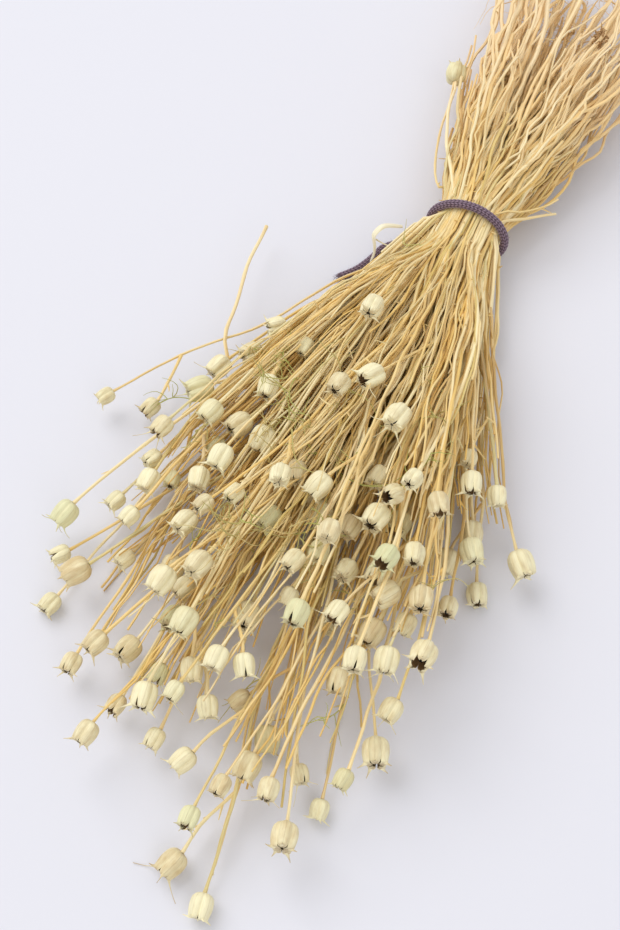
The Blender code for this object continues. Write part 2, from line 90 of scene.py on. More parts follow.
# The bunch, as its solids are laid out
SEED = 21
BAND_THICK = 4.8 * MM
BAND_HALF_WIDTH, BAND_HALF_HEIGHT = 16.8 * MM, 13.8 * MM
BAND_FLAT, BAND_LEAN = 0.6 * MM, 4.0 * MM
BAND_MIDDLE = BAND_THICK - BAND_FLAT + BAND_HALF_HEIGHT
KNOT_BEARING, KNOT_OFFSET = 222.0, (-1.5, -2.0, -1.0)
LOOSE_END_ROUTE = (
    (-19.4, -4.8, 5.9), (-25.5, -6.6, 3.4), (-32.0, -7.0, 2.2), (-37.0, -12.0, 2.2),
    (-40.0, -21.0, 2.2), (-44.0, -30.0, 2.2), (-50.0, -37.5, 2.2),
)
LOOSE_END_THICK, LOOSE_END_SPACING = 4.4 * MM, 5.0 * MM
PLANTS, STALKS_IN_BAND, SITE_PITCH = 36, 84, 2.8 * MM
ROOT_RADIUS, BAND_STALK_RADIUS, NECK_RADIUS = 1.6 * MM, 1.15 * MM, 0.85 * MM
BRANCH_RADIUS, BARE_RADIUS = 0.95 * MM, 1.0 * MM
STRAIGHT, FIRST_STEP, STEP = 10.0 * MM, 14.0 * MM, 45.0 * MM
BOW, RISE, WOBBLE = 0.035, 0.02, 1.8 * MM
ROOT_REACH, ROOT_SPREAD, ROOT_LEAN = (144.0 * MM, 206.0 * MM), 3.6, 6.0 * MM
ROOT_SCATTER, ROOT_HEIGHT = 7.0 * MM, (6.0 * MM, 50.0 * MM)
FAR_FORK, NEAR_FORK = (98.0 * MM, 126.0 * MM), (56.0 * MM, 78.0 * MM)
POD_LENGTH, POD_RADIUS, POD_SIZES, POD_WIDEST = 12.0 * MM, 5.3 * MM, (0.70, 1.08), 1.03
NOD, DROOP = 0.12, 0.06
STANDING_OUT = (
    (-118, -150, 12), (-41, -72, 32), (-17, -79, 48), (-39, -104, 36), (-54, -96, 26), (-64, -107, 20),
    (-76, -117, 16), (-74, -136, 22), (-62, -152, 37), (-48, -151, 33), (-81, -175, 17), (-72, -187, 25),
    (-88, -197, 13), (-103, -214, 18), (-98, -227, 9), (-86, -236, 17), (-93, -249, 4), (-75, -208, 25),
    (-68, -221, 13), (-60, -264, 26), (-69, -272, 12), (-51, -256, 11), (-46, -298, 24), (-44, -280, 12),
    (-33, -275, 22), (-23, -286, 12), (-20, -272, 32), (6, -312, 22), (12, -297, 29), (17, -284, 20),
    (22, -336, 4), (29, -290, 25), (42, -304, 23), (36, -276, 12), (48, -283, 4), (54, -276, 27),
    (61, -257, 14), (61, -246, 36), (63, -222, 40), (54, -201, 42), (64, -189, 20), (72, -171, 4),
    (63, -164, 24), (85, -155, 15), (60, -149, 11), (65, -134, 25), (54, -139, 37), (47, -164, 55),
    (33, -160, 57), (26, -173, 47), (37, -193, 53), (48, -184, 43), (13, -195, 56), (3, -208, 49),
    (16, -131, 53), (-12, -125, 50), (-42, -198, 46), (-33, -186, 39), (-46, -174, 44), (-45, -233, 37),
    (-28, -246, 38), (-14, -253, 35), (14, -229, 52), (42, -237, 49), (52, -228, 38),
)
FAN_EDGE = ((-27, 222), (-20, 256), (-8, 288), (8, 290), (13, 252), (22, 178))
NEAR_REACH, FILL_HEIGHT, POD_SPACING = 150.0 * MM, (7.5 * MM, 34.0 * MM), 14.5 * MM
SIDE_POD_SHORT, SIDE_POD_OUT = (6.0 * MM, 26.0 * MM), (11.0 * MM, 16.0 * MM)
SIDE_FORK_BACK, SIDE_POD_SIZE, SIDE_TILT = 52.0 * MM, 0.95, 0.7
TURNED_BACK = ((-21, 19, 22), (-29, 33, 20), (-35, 53, 19), (-37, 74, 19))
TURNED_BACK_POD = (-42, 96, 20)
BARE_STALK = ((-82, -97, 17), (-88, -64, 15), (-92, -31, 13))
GAP, POD_ROOM, POD_ROOM_SPAN = 0.7 * MM, 6.2 * MM, (0.42, 0.72)
ROUNDS, LOOK_AGAIN, LOOK_AROUND = 420, 10, 7.0 * MM
EASE, EASE_UNTIL, PUSH = 0.12, 0.85, 1.3
LOOSELY_HELD, POD_HELD, STRAY_HELD, NO_FORK = 0.5, 0.6, 0.4, 9

# Drawing the stalks
LINE_SPACING = 6.0 * MM
STALK_SIDES, LOOSE_SIDES, THREAD_SIDES = 7, 6, 5
ONLY = 0  # the number of a piece's only finish
GRAIN_LENGTH = 10.0 * MM  # the grain counts 1 for this length of a stalk
CREASE = 50.0  # degrees, beyond which an edge stays sharp
SLIMMER = (0.60, 0.92)  # a stalk's thickness next to its solid's
JOINT_SWELL, JOINT_SPAN = 0.16, 0.06  # a stalk's swelling at each joint, and its share of the way to the next
POD_FOOT = 1.15  # a stalk's swelling where its pod starts
WAVES = ((70.0 * MM, 0.36 * MM), (27.0 * MM, 0.17 * MM))  # length and size of a stalk's waves
WAVE_STRETCH = (0.75, 1.4)
ROOT_WAVES = 2.0  # times as large on the root side
END_FADE, BAND_FADE, BAND_WAVES = 25.0 * MM, 45.0 * MM, 0.12  # how near the ends and the band they fade
BAND_GRIP, BAND_HOLDS = 3.0 * MM, 7.5 * MM  # half the grip along the stalks, and how they spread beyond
BAND_CLEAR = 1.2  # radii of a stalk between its middle and the band
SPURS = 2  # broken twigs on a stalk
SPUR_LENGTH, SPUR_RADIUS = (2.0 * MM, 8.0 * MM), 0.4 * MM
SPUR_AHEAD, SPUR_SCATTER, SPUR_BEND, SPUR_TAPER = (0.8, 1.4), 0.6, 0.15, (1.5, 0.5)
SPUR_SIDES, SPUR_POINTS = 4, 4

# A pod's rings from the stalk to the beaks: radius, height, and share of a lobe's full width
CLOSED_POD = (
    (0.18, 0.00, 1.0), (0.58, 0.03, 1.0), (0.90, 0.17, 1.0), (1.00, 0.40, 1.0),
    (0.97, 0.62, 1.0), (0.88, 0.81, 1.0), (0.74, 0.93, 0.98), (0.08, 0.90, 0.80),
)
OPEN_POD = (
    (0.18, 0.00, 1.0), (0.58, 0.03, 1.0), (0.90, 0.17, 1.0), (1.00, 0.40, 1.0),
    (0.98, 0.62, 1.0), (0.92, 0.81, 0.93), (0.90, 0.94, 0.60), (0.98, 1.02, 0.10),
)
RING_LOWEST, RING_HIGHEST = (0.01, -0.1, 0.02), (2, 2, 1)
LOBES, LOBE_COLUMNS, RING_PIECES = 5, 6, 2
LOBE_FLARE, LOBE_LIFT = 0.10, 0.015  # how much the lobes of a pod differ at their rims
HUSK_THICK, INNERMOST = 0.055, 0.004  # of the pod's radius
GROOVE, GROOVE_MORE, GROOVE_SHARPNESS = 0.12, 0.18, 2.4  # depth at the foot, more at the rim, and narrowness
SLIT_FROM, WIDE_SLIT_FROM, SLIT_TO = 0.74, 0.56, 1.02  # shares of the way up, where a groove gapes
SLIT_SHARE, WIDE_SLIT_SHARE, WIDE_SLITS = (0.03, 0.12), (0.12, 0.30), 0.5
BEAK_ROW = 12  # the ring of a pod where a lobe's beak starts
OPENNESS, OPENNESS_ODDS, OPENNESS_SCATTER = (0.06, 0.3, 0.65), (0.44, 0.38, 0.18), 0.08
CORE_RINGS = ((0.05, 0.08), (0.50, 0.16), (0.66, 0.42), (0.62, 0.66), (0.42, 0.82), (0.05, 0.88))
CORE_SIDES, CORE_LOWER = 10, 0.45  # how much lower the core is in a fully open pod
BEAK_RADIUS, BEAK_LENGTHS = 1.15 * MM, (0.09, 0.20)  # the lengths are shares of the pod's
BEAK_UNEVEN, BEAK_OUT, BEAK_UP, BEAK_SCATTER = (0.6, 1.3), 0.8, 0.75, 0.14
BEAK_CURL, CURL_SCATTER, BEAK_TAPER, BEAK_FADE = 0.4, 0.16, 0.88, 1.5
BEAK_SIDES, BEAK_POINTS = 5, 6
THREADED_PODS, THREADED_BEAKS, THREAD_LONGER, THREAD_FADE = 0.22, 0.7, 3.0, 5  # beaks with a dry thread
SEED_SIZE, SEEDS_IN_OPEN, SEED_OUT = 1.15 * MM, 7, (0.1, 0.62)
# Where the seeds lie: at a share of the core's height, a little above it, and lower outwards
SEED_BED, SEED_ABOVE, SEED_DIP = 0.80, 0.06, 0.2
SEED_RINGS = ((0.25, -1.0), (0.62, -0.5), (0.62, 0.35), (0.2, 0.95))  # radius and height
POD_TAN, POD_GREEN_RARITY = (1.8, 2.3), 7
STRAW_GOLDEN, STRAW_SCATTER, STRAW_GREEN_RARITY = 0.36, 0.26, 6

FINISHES = ("straw", "pod husk", "pod inside", "pod hollow", "black seed")
STRAW, HUSK, INSIDE, HOLLOW, BLACK = range(5)


def blend(low_high, share):
    return low_high[0] + (low_high[1] - low_high[0]) * share


def unit(vector):
    return vector / np.linalg.norm(vector)


# Laying out the bunch, as for its solids


class Bunch:
    """The points of all stalks, and each stalk as a list of point numbers.
    A branch starts at a point of its parent."""

    def __init__(self):
        self.points = []
        self.freedom = []
        self.stalks = []

    def point(self, place, freedom=1.0):
        self.points.append(np.array(place, float))
        self.freedom.append(freedom)
        return len(self.points) - 1

    def stalk(self, plant, points, radii, pod_size=None, parent=None):
        """A stalk through those points. With a pod, its last two points are the pod's neck and tip."""
        made = {"plant": plant, "points": points, "radii": radii, "pod": pod_size, "parent": parent}
        self.stalks.append(made)
        return len(self.stalks) - 1


def band_sites():
    """Places of the stalks in the band, on a six-sided grid: columns from -X to +X, each upwards."""
    half_wide = BAND_HALF_WIDTH - BAND_STALK_RADIUS
    half_high = BAND_HALF_HEIGHT - BAND_STALK_RADIUS
    found = []
    for column in range(-9, 10):
        for row in range(-7, 8):
            across = column * SITE_PITCH * math.sqrt(3) / 2
            up = (row + 0.5 * (column % 2)) * SITE_PITCH
            found.append((math.hypot(across / half_wide, up / half_high), column, across, up))
    kept = sorted(found)[:STALKS_IN_BAND]
    columns = sorted({site[1] for site in kept})
    return [sorted((across, up) for _, at, across, up in kept if at == column) for column in columns]


def pod_places(random):
    """The pods that stand out, then others drawn inside the fan's edge, each well clear of those before."""
    places = [np.array(place, float) * MM for place in STANDING_OUT]
    while len(places) < STALKS_IN_BAND:
        bearing = blend((FAN_EDGE[0][0], FAN_EDGE[-1][0]), random.random())
        edge = np.interp(bearing, *zip(*FAN_EDGE)) * MM
        reach = blend((NEAR_REACH, edge), random.random())
        across = reach * math.sin(math.radians(bearing))
        along = reach * math.cos(math.radians(bearing))
        place = np.array((across, -along, blend(FILL_HEIGHT, random.random())))
        if min(np.linalg.norm(place - other) for other in places) > POD_SPACING:
            places.append(place)
    return places


def pods_to_sites(places, columns):
    """Pairs each place in the band with a pod so that few stalks cross: bearings go to columns and
    heights to rows. The pairs run up one column and down the next."""
    by_bearing = sorted(places, key=lambda place: math.atan2(place[0], -place[1]))
    pairs = []
    for turn, column in enumerate(columns):
        pods = [by_bearing.pop(0) for _ in column]
        pods.sort(key=lambda place: place[2] / np.linalg.norm(place[:2]))
        run = list(zip(column, pods))
        pairs += run if turn % 2 == 0 else run[::-1]
    return pairs


def neck_and_tip(before, pod, size, random):
    """A pod's two ends round its middle: it carries on the line of its stalk and nods a little."""
    along = unit(unit(pod - before) + random.normal(0, NOD, 3) - np.array((0, 0, DROOP)))
    half = 0.5 * POD_LENGTH * size
    return pod - along * half, pod + along * half


def outward_points(start, pod, random):
    """Points of a stalk between the band and its pod, bowed to one side and a little upwards."""
    length = np.linalg.norm(pod - start)
    pieces = max(2, round((length - FIRST_STEP) / STEP))
    side = np.cross(unit(pod - start), (0, 0, 1))
    bow = side * random.normal(0, BOW) * length
    bow = bow + np.array((0, 0, abs(random.normal(0, RISE)) * length))
    first = FIRST_STEP / length
    places = [start + (pod - start) * first * 0.7 - np.array((0, 0.3 * FIRST_STEP, 0))]
    for piece in range(1, pieces):
        share = first + (1 - first) * piece / pieces
        wobble = random.normal(0, WOBBLE, 3)
        places.append(start + (pod - start) * share + bow * math.sin(math.pi * share) + wobble)
    return places


def tapered(first, last, count):
    return [first + (last - first) * number / (count - 1) for number in range(count)]


def add_stalk(bunch, plant, start, pair, size, random, parent):
    """A stalk from start, point numbers on the root side, through its place in the band to its pod."""
    (across, up), pod = pair
    inside = np.array((across, STRAIGHT, BAND_MIDDLE + up))
    outside = np.array((across, -STRAIGHT, BAND_MIDDLE + up))
    numbers = start + [bunch.point(inside, 0), bunch.point(outside, 0)]
    between = outward_points(outside, pod, random)
    numbers += [bunch.point(place) for place in between]
    neck, tip = neck_and_tip(between[-1], pod, size, random)
    numbers += [bunch.point(neck, POD_HELD), bunch.point(tip, POD_HELD)]
    first_radius = ROOT_RADIUS if parent is None else BAND_STALK_RADIUS
    radii = tapered(first_radius, BAND_STALK_RADIUS, len(start) + 1)
    radii += tapered(BAND_STALK_RADIUS, NECK_RADIUS, len(between) + 2)
    return bunch.stalk(plant, numbers, radii, size, parent)


def add_side_pod(bunch, plant, main, random):
    """A pod on a short branch that leaves a stalk on the pod side, leaning towards the bunch's middle."""
    numbers = bunch.stalks[main]["points"]
    neck = bunch.points[numbers[-2]]
    outer = [number for number in numbers[:-2] if bunch.points[number][1] < -1.1 * STRAIGHT]
    off = {number: abs(np.linalg.norm(bunch.points[number] - neck) - SIDE_FORK_BACK) for number in outer}
    fork_number = min(outer, key=off.get)
    fork = bunch.points[fork_number]
    along = unit(neck - fork)
    side = unit(np.cross(along, (0, 0, 1)))
    side *= -math.copysign(1, side[0] * neck[0])
    out = blend(SIDE_POD_OUT, random.random())
    lift = np.array((0, 0, random.uniform(-SIDE_TILT, SIDE_TILT)))
    pod = neck - along * blend(SIDE_POD_SHORT, random.random()) + (side + lift) * out
    pod[2] = max(pod[2], POD_ROOM)
    size = blend(POD_SIZES, random.random()) * SIDE_POD_SIZE
    middle = (fork + pod) / 2 + side * 0.1 * out
    neck, tip = neck_and_tip(middle, pod, size, random)
    points = [fork_number, bunch.point(middle), bunch.point(neck), bunch.point(tip)]
    bunch.stalk(plant, points, tapered(BRANCH_RADIUS, NECK_RADIUS, 3), size, main)


def before_band(bunch, fork, site):
    """A stalk's point shortly before the band, on its way from a fork to its place."""
    place = np.array((site[0], STRAIGHT, BAND_MIDDLE + site[1]))
    way = bunch.points[fork] - place
    return bunch.point(place + way * (FIRST_STEP / np.linalg.norm(way)))


def root_points(bunch, pairs, random):
    """Points of a plant's main stem from its root end past its two forks."""
    across = sum(site[0] for site, _ in pairs) / len(pairs)
    up = sum(site[1] for site, _ in pairs) / len(pairs)
    reach = blend(ROOT_REACH, random.random())
    lift = blend(ROOT_HEIGHT, 0.5 + 0.5 * up / BAND_HALF_HEIGHT) + random.normal(0, 0.5 * ROOT_SCATTER)
    end_across = ROOT_LEAN + across * ROOT_SPREAD + random.normal(0, ROOT_SCATTER)
    end = np.array((end_across, reach, max(lift, 1.2 * ROOT_RADIUS)))
    gate = np.array((across, STRAIGHT, BAND_MIDDLE + up))
    far, near = blend(FAR_FORK, random.random()) / reach, blend(NEAR_FORK, random.random()) / reach
    numbers = [bunch.point(end, LOOSELY_HELD)]
    for share in ((far + 1) / 2, far, near):
        numbers.append(bunch.point(gate + (end - gate) * share + random.normal(0, WOBBLE, 3)))
    return numbers


def add_plant(bunch, plant, pairs, random):
    """A main stem from its root end, with the plant's other stalks forking off it, and a side pod."""
    sizes = [blend(POD_SIZES, random.random()) for _ in pairs]
    root = root_points(bunch, pairs, random)
    start = root + [before_band(bunch, root[-1], pairs[0][0])]
    main = add_stalk(bunch, plant, start, pairs[0], sizes[0], random, None)
    for fork, pair, size in zip(root[2:], pairs[1:], sizes[1:]):
        near = before_band(bunch, fork, pair[0])
        halfway = (bunch.points[fork] + bunch.points[near]) / 2 + random.normal(0, WOBBLE, 3)
        add_stalk(bunch, plant, [fork, bunch.point(halfway), near], pair, size, random, main)
    add_side_pod(bunch, plant, main, random)


def add_stray(bunch, route, radius, pod=None):
    """A stalk on its own way through the places of a route, from the nearest point of any other stalk."""
    places = [np.array(place, float) * MM for place in route]
    found = []
    for parent, stalk in enumerate(bunch.stalks):
        for number in stalk["points"][1:-1]:
            found.append((np.linalg.norm(bunch.points[number] - places[0]), parent, number))
    _, parent, root = min(found)
    numbers = [root] + [bunch.point(place, STRAY_HELD) for place in places]
    radii = [radius] * len(numbers)
    if pod:
        middle = np.array(pod, float) * MM
        half = 0.5 * POD_LENGTH * unit(middle - places[-1])
        numbers += [bunch.point(middle - half, STRAY_HELD), bunch.point(middle + half, STRAY_HELD)]
        radii.append(radius)
    bunch.stalk(bunch.stalks[parent]["plant"], numbers, radii, 1.0 if pod else None, parent)


def lay_out():
    """The whole bunch before it is bent clear."""
    random = np.random.default_rng(SEED)
    bunch = Bunch()
    pairs = pods_to_sites(pod_places(random), band_sites())
    threes = STALKS_IN_BAND - 2 * PLANTS
    for plant in range(PLANTS):
        count = 3 if (plant * threes) % PLANTS < threes else 2
        add_plant(bunch, plant, [pairs.pop(0) for _ in range(count)], random)
    add_stray(bunch, TURNED_BACK, NECK_RADIUS, TURNED_BACK_POD)
    add_stray(bunch, BARE_STALK, BARE_RADIUS)
    return bunch


def through(before, start, end, after, share):
    """A point of the smooth curve between start and end."""
    return 0.5 * (
        2 * start
        + (end - before) * share
        + (2 * before - 5 * start + 4 * end - after) * share**2
        + (3 * start - before - 3 * end + after) * share**3
    )


def smooth_line(places, spacing):
    """Points of a smooth curve through the places, and how many places each has passed."""
    places = np.asarray(places, float)
    ends = np.vstack((2 * places[0] - places[1], places, 2 * places[-1] - places[-2]))
    line, passed = [], []
    for at, (before, start, end, after) in enumerate(zip(ends, ends[1:], ends[2:], ends[3:])):
        pieces = max(1, round(np.linalg.norm(end - start) / spacing))
        for piece in range(pieces):
            line.append(through(before, start, end, after, piece / pieces))
            passed.append(at + piece / pieces)
    return np.array(line + [places[-1]]), np.array(passed + [len(places) - 1.0])


def nearest_shares(first, second):
    """For pairs of rods, how far along each one the nearest points lie."""
    (a, b), (c, d) = first, second
    along, across, between = b - a, d - c, a - c
    aa, cc, ac = (along**2).sum(1), (across**2).sum(1), (along * across).sum(1)
    ab, cb = (along * between).sum(1), (across * between).sum(1)
    spread = aa * cc - ac**2
    share = np.clip((ac * cb - ab * cc) / np.where(spread > 1e-18, spread, 1e18), 0, 1)
    other = np.clip((ac * share + cb) / cc, 0, 1)
    return np.clip((ac * other - ab) / aa, 0, 1), other


class Clearing:
    """Bends the stalks clear of each other. Each piece of a stalk and each pod is a rod with round ends."""

    def __init__(self, bunch):
        route, _ = smooth_line(np.array(LOOSE_END_ROUTE) * MM, LOOSE_END_SPACING)
        loose = [bunch.point(place, 0) for place in route]
        self.points = np.array(bunch.points)
        self.freedom = np.array(bunch.freedom)[:, None]
        rods = [rod for stalk in bunch.stalks for rod in self.rods_of(stalk)]
        half = 0.5 * LOOSE_END_THICK
        rods += [(a, b, 0, 1, half, half, -1, NO_FORK) for a, b in zip(loose, loose[1:])]
        rods = np.array(rods)
        self.one, self.two = rods[:, 0].astype(int), rods[:, 1].astype(int)
        self.begin, self.finish, self.radius, body, plant, steps = rods[:, 2:].T
        self.low = np.zeros(len(self.points))
        np.maximum.at(self.low, self.one, body)
        np.maximum.at(self.low, self.two, body)
        self.pairs = self.pairs_to_part(plant, steps)
        threes = [zip(*(stalk["points"][skip:] for skip in range(3))) for stalk in bunch.stalks]
        self.bends = np.array([three for run in threes for three in run])
        self.resting = self.bend_now()
        pods = [stalk for stalk in bunch.stalks if stalk["pod"]]
        self.necks, self.tips = (np.array([stalk["points"][end] for stalk in pods]) for end in (-2, -1))
        self.lengths = np.array([stalk["pod"] for stalk in pods]) * POD_LENGTH

    @staticmethod
    def rods_of(stalk):
        """Each rod: two points, its stretch between them, room, body radius, plant, steps from the fork."""
        points, radii, plant, pod = stalk["points"], stalk["radii"], stalk["plant"], stalk["pod"]
        rods = []
        for at, radius in enumerate(max(two) for two in zip(radii, radii[1:])):
            steps = NO_FORK if stalk["parent"] is None else at
            rods.append((points[at], points[at + 1], 0, 1, radius, radius, plant, steps))
        if pod:
            room = (*POD_ROOM_SPAN, POD_ROOM * pod, POD_RADIUS * POD_WIDEST * pod)
            rods.append((points[-2], points[-1], *room, plant, NO_FORK))
        return rods

    def pairs_to_part(self, plant, steps):
        """All pairs of rods but those that share a point or meet near a fork of their plant."""
        left, right = np.triu_indices(len(self.one), 1)
        apart = (plant[left] != plant[right]) | (np.minimum(steps[left], steps[right]) > 1)
        for end in (self.one, self.two):
            apart &= (end[left] != self.one[right]) & (end[left] != self.two[right])
        return left[apart], right[apart]

    def bend_now(self):
        before, here, after = (self.points[self.bends[:, place]] for place in range(3))
        return before + after - 2 * here

    def ends(self):
        first, span = self.points[self.one], self.points[self.two] - self.points[self.one]
        return first + self.begin[:, None] * span, first + self.finish[:, None] * span

    def look_around(self):
        """Keeps the pairs that are near enough to touch soon."""
        start, end = self.ends()
        middle, reach = (start + end) / 2, np.linalg.norm(end - start, axis=1) / 2 + self.radius
        left, right = self.pairs
        distance = np.linalg.norm(middle[left] - middle[right], axis=1)
        near = distance < reach[left] + reach[right] + LOOK_AROUND
        self.near = left[near], right[near]

    def push_apart(self):
        start, end = self.ends()
        left, right = self.near
        share, other = nearest_shares((start[left], end[left]), (start[right], end[right]))
        away = start[left] + share[:, None] * (end - start)[left]
        away -= start[right] + other[:, None] * (end - start)[right]
        distance = np.linalg.norm(away, axis=1)
        short = self.radius[left] + self.radius[right] + GAP - distance
        hit = short > 0
        push = away[hit] * (0.5 * short[hit] / distance[hit])[:, None]
        move, count = np.zeros_like(self.points), np.zeros(len(self.points))
        for way, rods, along in ((push, left[hit], share[hit]), (-push, right[hit], other[hit])):
            at = self.begin[rods] + along * (self.finish[rods] - self.begin[rods])
            for number, weight in ((self.one[rods], 1 - at), (self.two[rods], at)):
                np.add.at(move, number, way * weight[:, None])
                np.add.at(count, number, weight)
        self.points += PUSH * self.freedom * move / np.maximum(count, 0.5)[:, None]

    def ease_bends(self):
        """Lets each stalk spring back towards the bend it had."""
        ease = np.zeros_like(self.points)
        np.add.at(ease, self.bends[:, 1], EASE * (self.bend_now() - self.resting))
        self.points += self.freedom * ease

    def keep_pods(self):
        """Keeps the pods' lengths, and everything above the surface."""
        between = self.points[self.tips] - self.points[self.necks]
        span = np.linalg.norm(between, axis=1)
        change = between * ((span - self.lengths) / span / 2)[:, None]
        self.points[self.necks] += change
        self.points[self.tips] -= change
        free = self.freedom[:, 0] > 0
        self.points[free, 2] = np.maximum(self.points[free, 2], self.low[free])

    def run(self):
        for turn in range(ROUNDS):
            if turn % LOOK_AGAIN == 0:
                self.look_around()
            self.push_apart()
            if turn < ROUNDS * EASE_UNTIL:
                self.ease_bends()
            self.keep_pods()
        return self.points


@functools.cache
def bent_bunch():
    """The bunch with its stalks bent clear, worked out once."""
    bunch = lay_out()
    bunch.points = Clearing(bunch).run()
    return bunch


def band_place(angle):
    """The middle of the band's cord at an angle round the bunch."""
    half_wide, half_high = BAND_HALF_WIDTH + BAND_THICK / 2, BAND_HALF_HEIGHT + BAND_THICK / 2
    up = half_high * math.sin(angle)
    lean = BAND_LEAN * (up + half_high) / (2 * half_high)
    return np.array((half_wide * math.cos(angle), lean, BAND_MIDDLE + up))


# Drawing in mesh


class Form:
    """One piece in the making. Every vertex has a grain, its place on the stalk or pod, and a tone."""

    def __init__(self):
        self.places, self.grain, self.tone = [], [], []
        self.faces, self.finish = [], []
        self.count = 0

    def add(self, places, grain, tone, faces, finish):
        """tone is one for all these vertices or one for each, and finish, a material's number, one for all
        these faces or one for each."""
        places = np.asarray(places, float).reshape(-1, 3)
        self.places.append(places)
        self.grain.append(np.asarray(grain, float).reshape(-1, 3))
        self.tone.append(np.broadcast_to(tone, (len(places), 3)))
        self.faces += [tuple(number + self.count for number in face) for face in faces]
        self.finish += list(finish) if isinstance(finish, (list, tuple)) else [finish] * len(faces)
        self.count += len(places)

    def build(self, name, materials):
        mesh = bpy.data.meshes.new(name)
        mesh.from_pydata(np.vstack(self.places).tolist(), [], self.faces)
        for material in materials:
            mesh.materials.append(material)
        mesh.polygons.foreach_set("material_index", self.finish)
        for label, rows in (("grain", self.grain), ("tone", self.tone)):
            marks = mesh.attributes.new(label, "FLOAT_VECTOR", "POINT")
            marks.data.foreach_set("vector", np.vstack(rows).astype(np.float32).ravel())
        mesh.shade_smooth()
        mesh.set_sharp_from_angle(angle=math.radians(CREASE))
        made = bpy.data.objects.new(name, mesh)
        bpy.context.scene.collection.objects.link(made)
        return made


def wall(sides, rings):
    """Faces between rings of as many points."""
    faces = []
    for step in range(rings - 1):
        for number in range(sides):
            a, b = step * sides + number, step * sides + (number + 1) % sides
            faces.append((a, b, b + sides, a + sides))
    return faces


def capped_wall(sides, rings):
    last = (rings - 1) * sides
    return wall(sides, rings) + [tuple(range(sides))[::-1], tuple(range(last, last + sides))]


def frames_along(line):
    """Two directions across a line at each of its points, turned as little as possible along it."""
    ahead = np.gradient(line, axis=0)
    ahead /= np.linalg.norm(ahead, axis=1)[:, None]
    side = np.cross(ahead[0], (0.1, 0.2, 1.0))
    sides = []
    for tangent in ahead:
        side = unit(side - tangent * np.dot(side, tangent))
        sides.append(side)
    sides = np.array(sides)
    return sides, np.cross(ahead, sides)


def lengths_along(line):
    return np.concatenate(([0.0], np.cumsum(np.linalg.norm(np.diff(line, axis=0), axis=1))))


def tube_rings(line, radii, sides):
    """Rings of points round a line, and the grain of each: two numbers round it and one along it."""
    across, up = frames_along(line)
    turns = 2 * math.pi * np.arange(sides) / sides
    ways = across[:, None] * np.cos(turns)[:, None] + up[:, None] * np.sin(turns)[:, None]
    places = line[:, None] + ways * np.reshape(radii, (len(line), -1, 1))
    grain = np.empty_like(places)
    grain[..., 0], grain[..., 1] = np.cos(turns), np.sin(turns)
    grain[..., 2] = lengths_along(line)[:, None] / GRAIN_LENGTH
    return places, grain


def add_tube(form, line, radii, tone, finish=STRAW, sides=STALK_SIDES):
    places, grain = tube_rings(line, radii, sides)
    form.add(places, grain, tone, capped_wall(sides, len(line)), finish)


def hold_in(line, radius):
    """Keeps a line above the surface, and inside the band if it passes through."""
    line[:, 2] = np.maximum(line[:, 2], radius)
    if line[:, 1].min() > 0 or line[:, 1].max() < 0:
        return line
    lean = BAND_LEAN * np.clip(line[:, 2] / (2 * BAND_MIDDLE), 0, 1)
    beyond = np.maximum(np.abs(line[:, 1] - lean) - BAND_GRIP, 0)
    room = 1 + (beyond / BAND_HOLDS) ** 2
    across = line[:, 0] / (BAND_HALF_WIDTH - BAND_CLEAR * radius)
    up = (line[:, 2] - BAND_MIDDLE) / (BAND_HALF_HEIGHT - BAND_CLEAR * radius)
    over = np.maximum(np.hypot(across, up) / room, 1)
    line[:, 0] /= over
    line[:, 2] = BAND_MIDDLE + (line[:, 2] - BAND_MIDDLE) / over
    line[:, 2] = np.maximum(line[:, 2], radius)
    return line


def inside_box(line, radius):
    """Keeps a line inside the solids' box and above the surface."""
    low, high = (np.array(corner) for corner in SOLID_BOX)
    low, high = low + 2 * radius, high - 2 * radius
    return np.clip(line, (low[0], low[1], radius), high)


def cut_at_box(line, radius):
    """The line up to where it would leave the solids' box, and above the surface."""
    kept = inside_box(line, radius)
    outside = (kept != line)[:, :2].any(axis=1)
    last = int(np.argmax(outside)) if outside.any() else len(line)
    return kept[: max(last, 2)]


def waved(line, size, random):
    """The line with natural waves, which die out at its ends and in the band."""
    along = lengths_along(line)
    fade = np.minimum(1, np.minimum(along, along[-1] - along) / END_FADE)
    fade *= np.clip(np.abs(line[:, 1]) / BAND_FADE, BAND_WAVES, 1)
    fade *= np.where(line[:, 1] > 0, ROOT_WAVES, 1)
    moved = line.copy()
    for length, swing in WAVES:
        for _ in range(2):
            way = random.normal(0, 1, 3)
            phase = random.uniform(0, 2 * math.pi)
            stretch = random.uniform(*WAVE_STRETCH)
            wave = np.sin(2 * math.pi * along / (length * stretch) + phase)
            moved += (size * swing * fade * wave)[:, None] * way
    return moved


def stalk_line(bunch, stalk, random):
    """A stalk's drawn line up to its pod, and its radius at each point."""
    places = bunch.points[stalk["points"]]
    line, passed = smooth_line(places, LINE_SPACING)
    if stalk["pod"]:
        kept = passed <= len(places) - 2
        line, passed = line[kept], passed[kept]
    radii = np.interp(passed, range(len(stalk["radii"])), stalk["radii"]) * blend(SLIMMER, random.random())
    line = hold_in(waved(line, 1.0, random), radii.max())
    off_joint = np.abs(passed - np.round(passed))
    return line, radii * (1 + JOINT_SWELL * np.exp(-((off_joint / JOINT_SPAN) ** 2)))


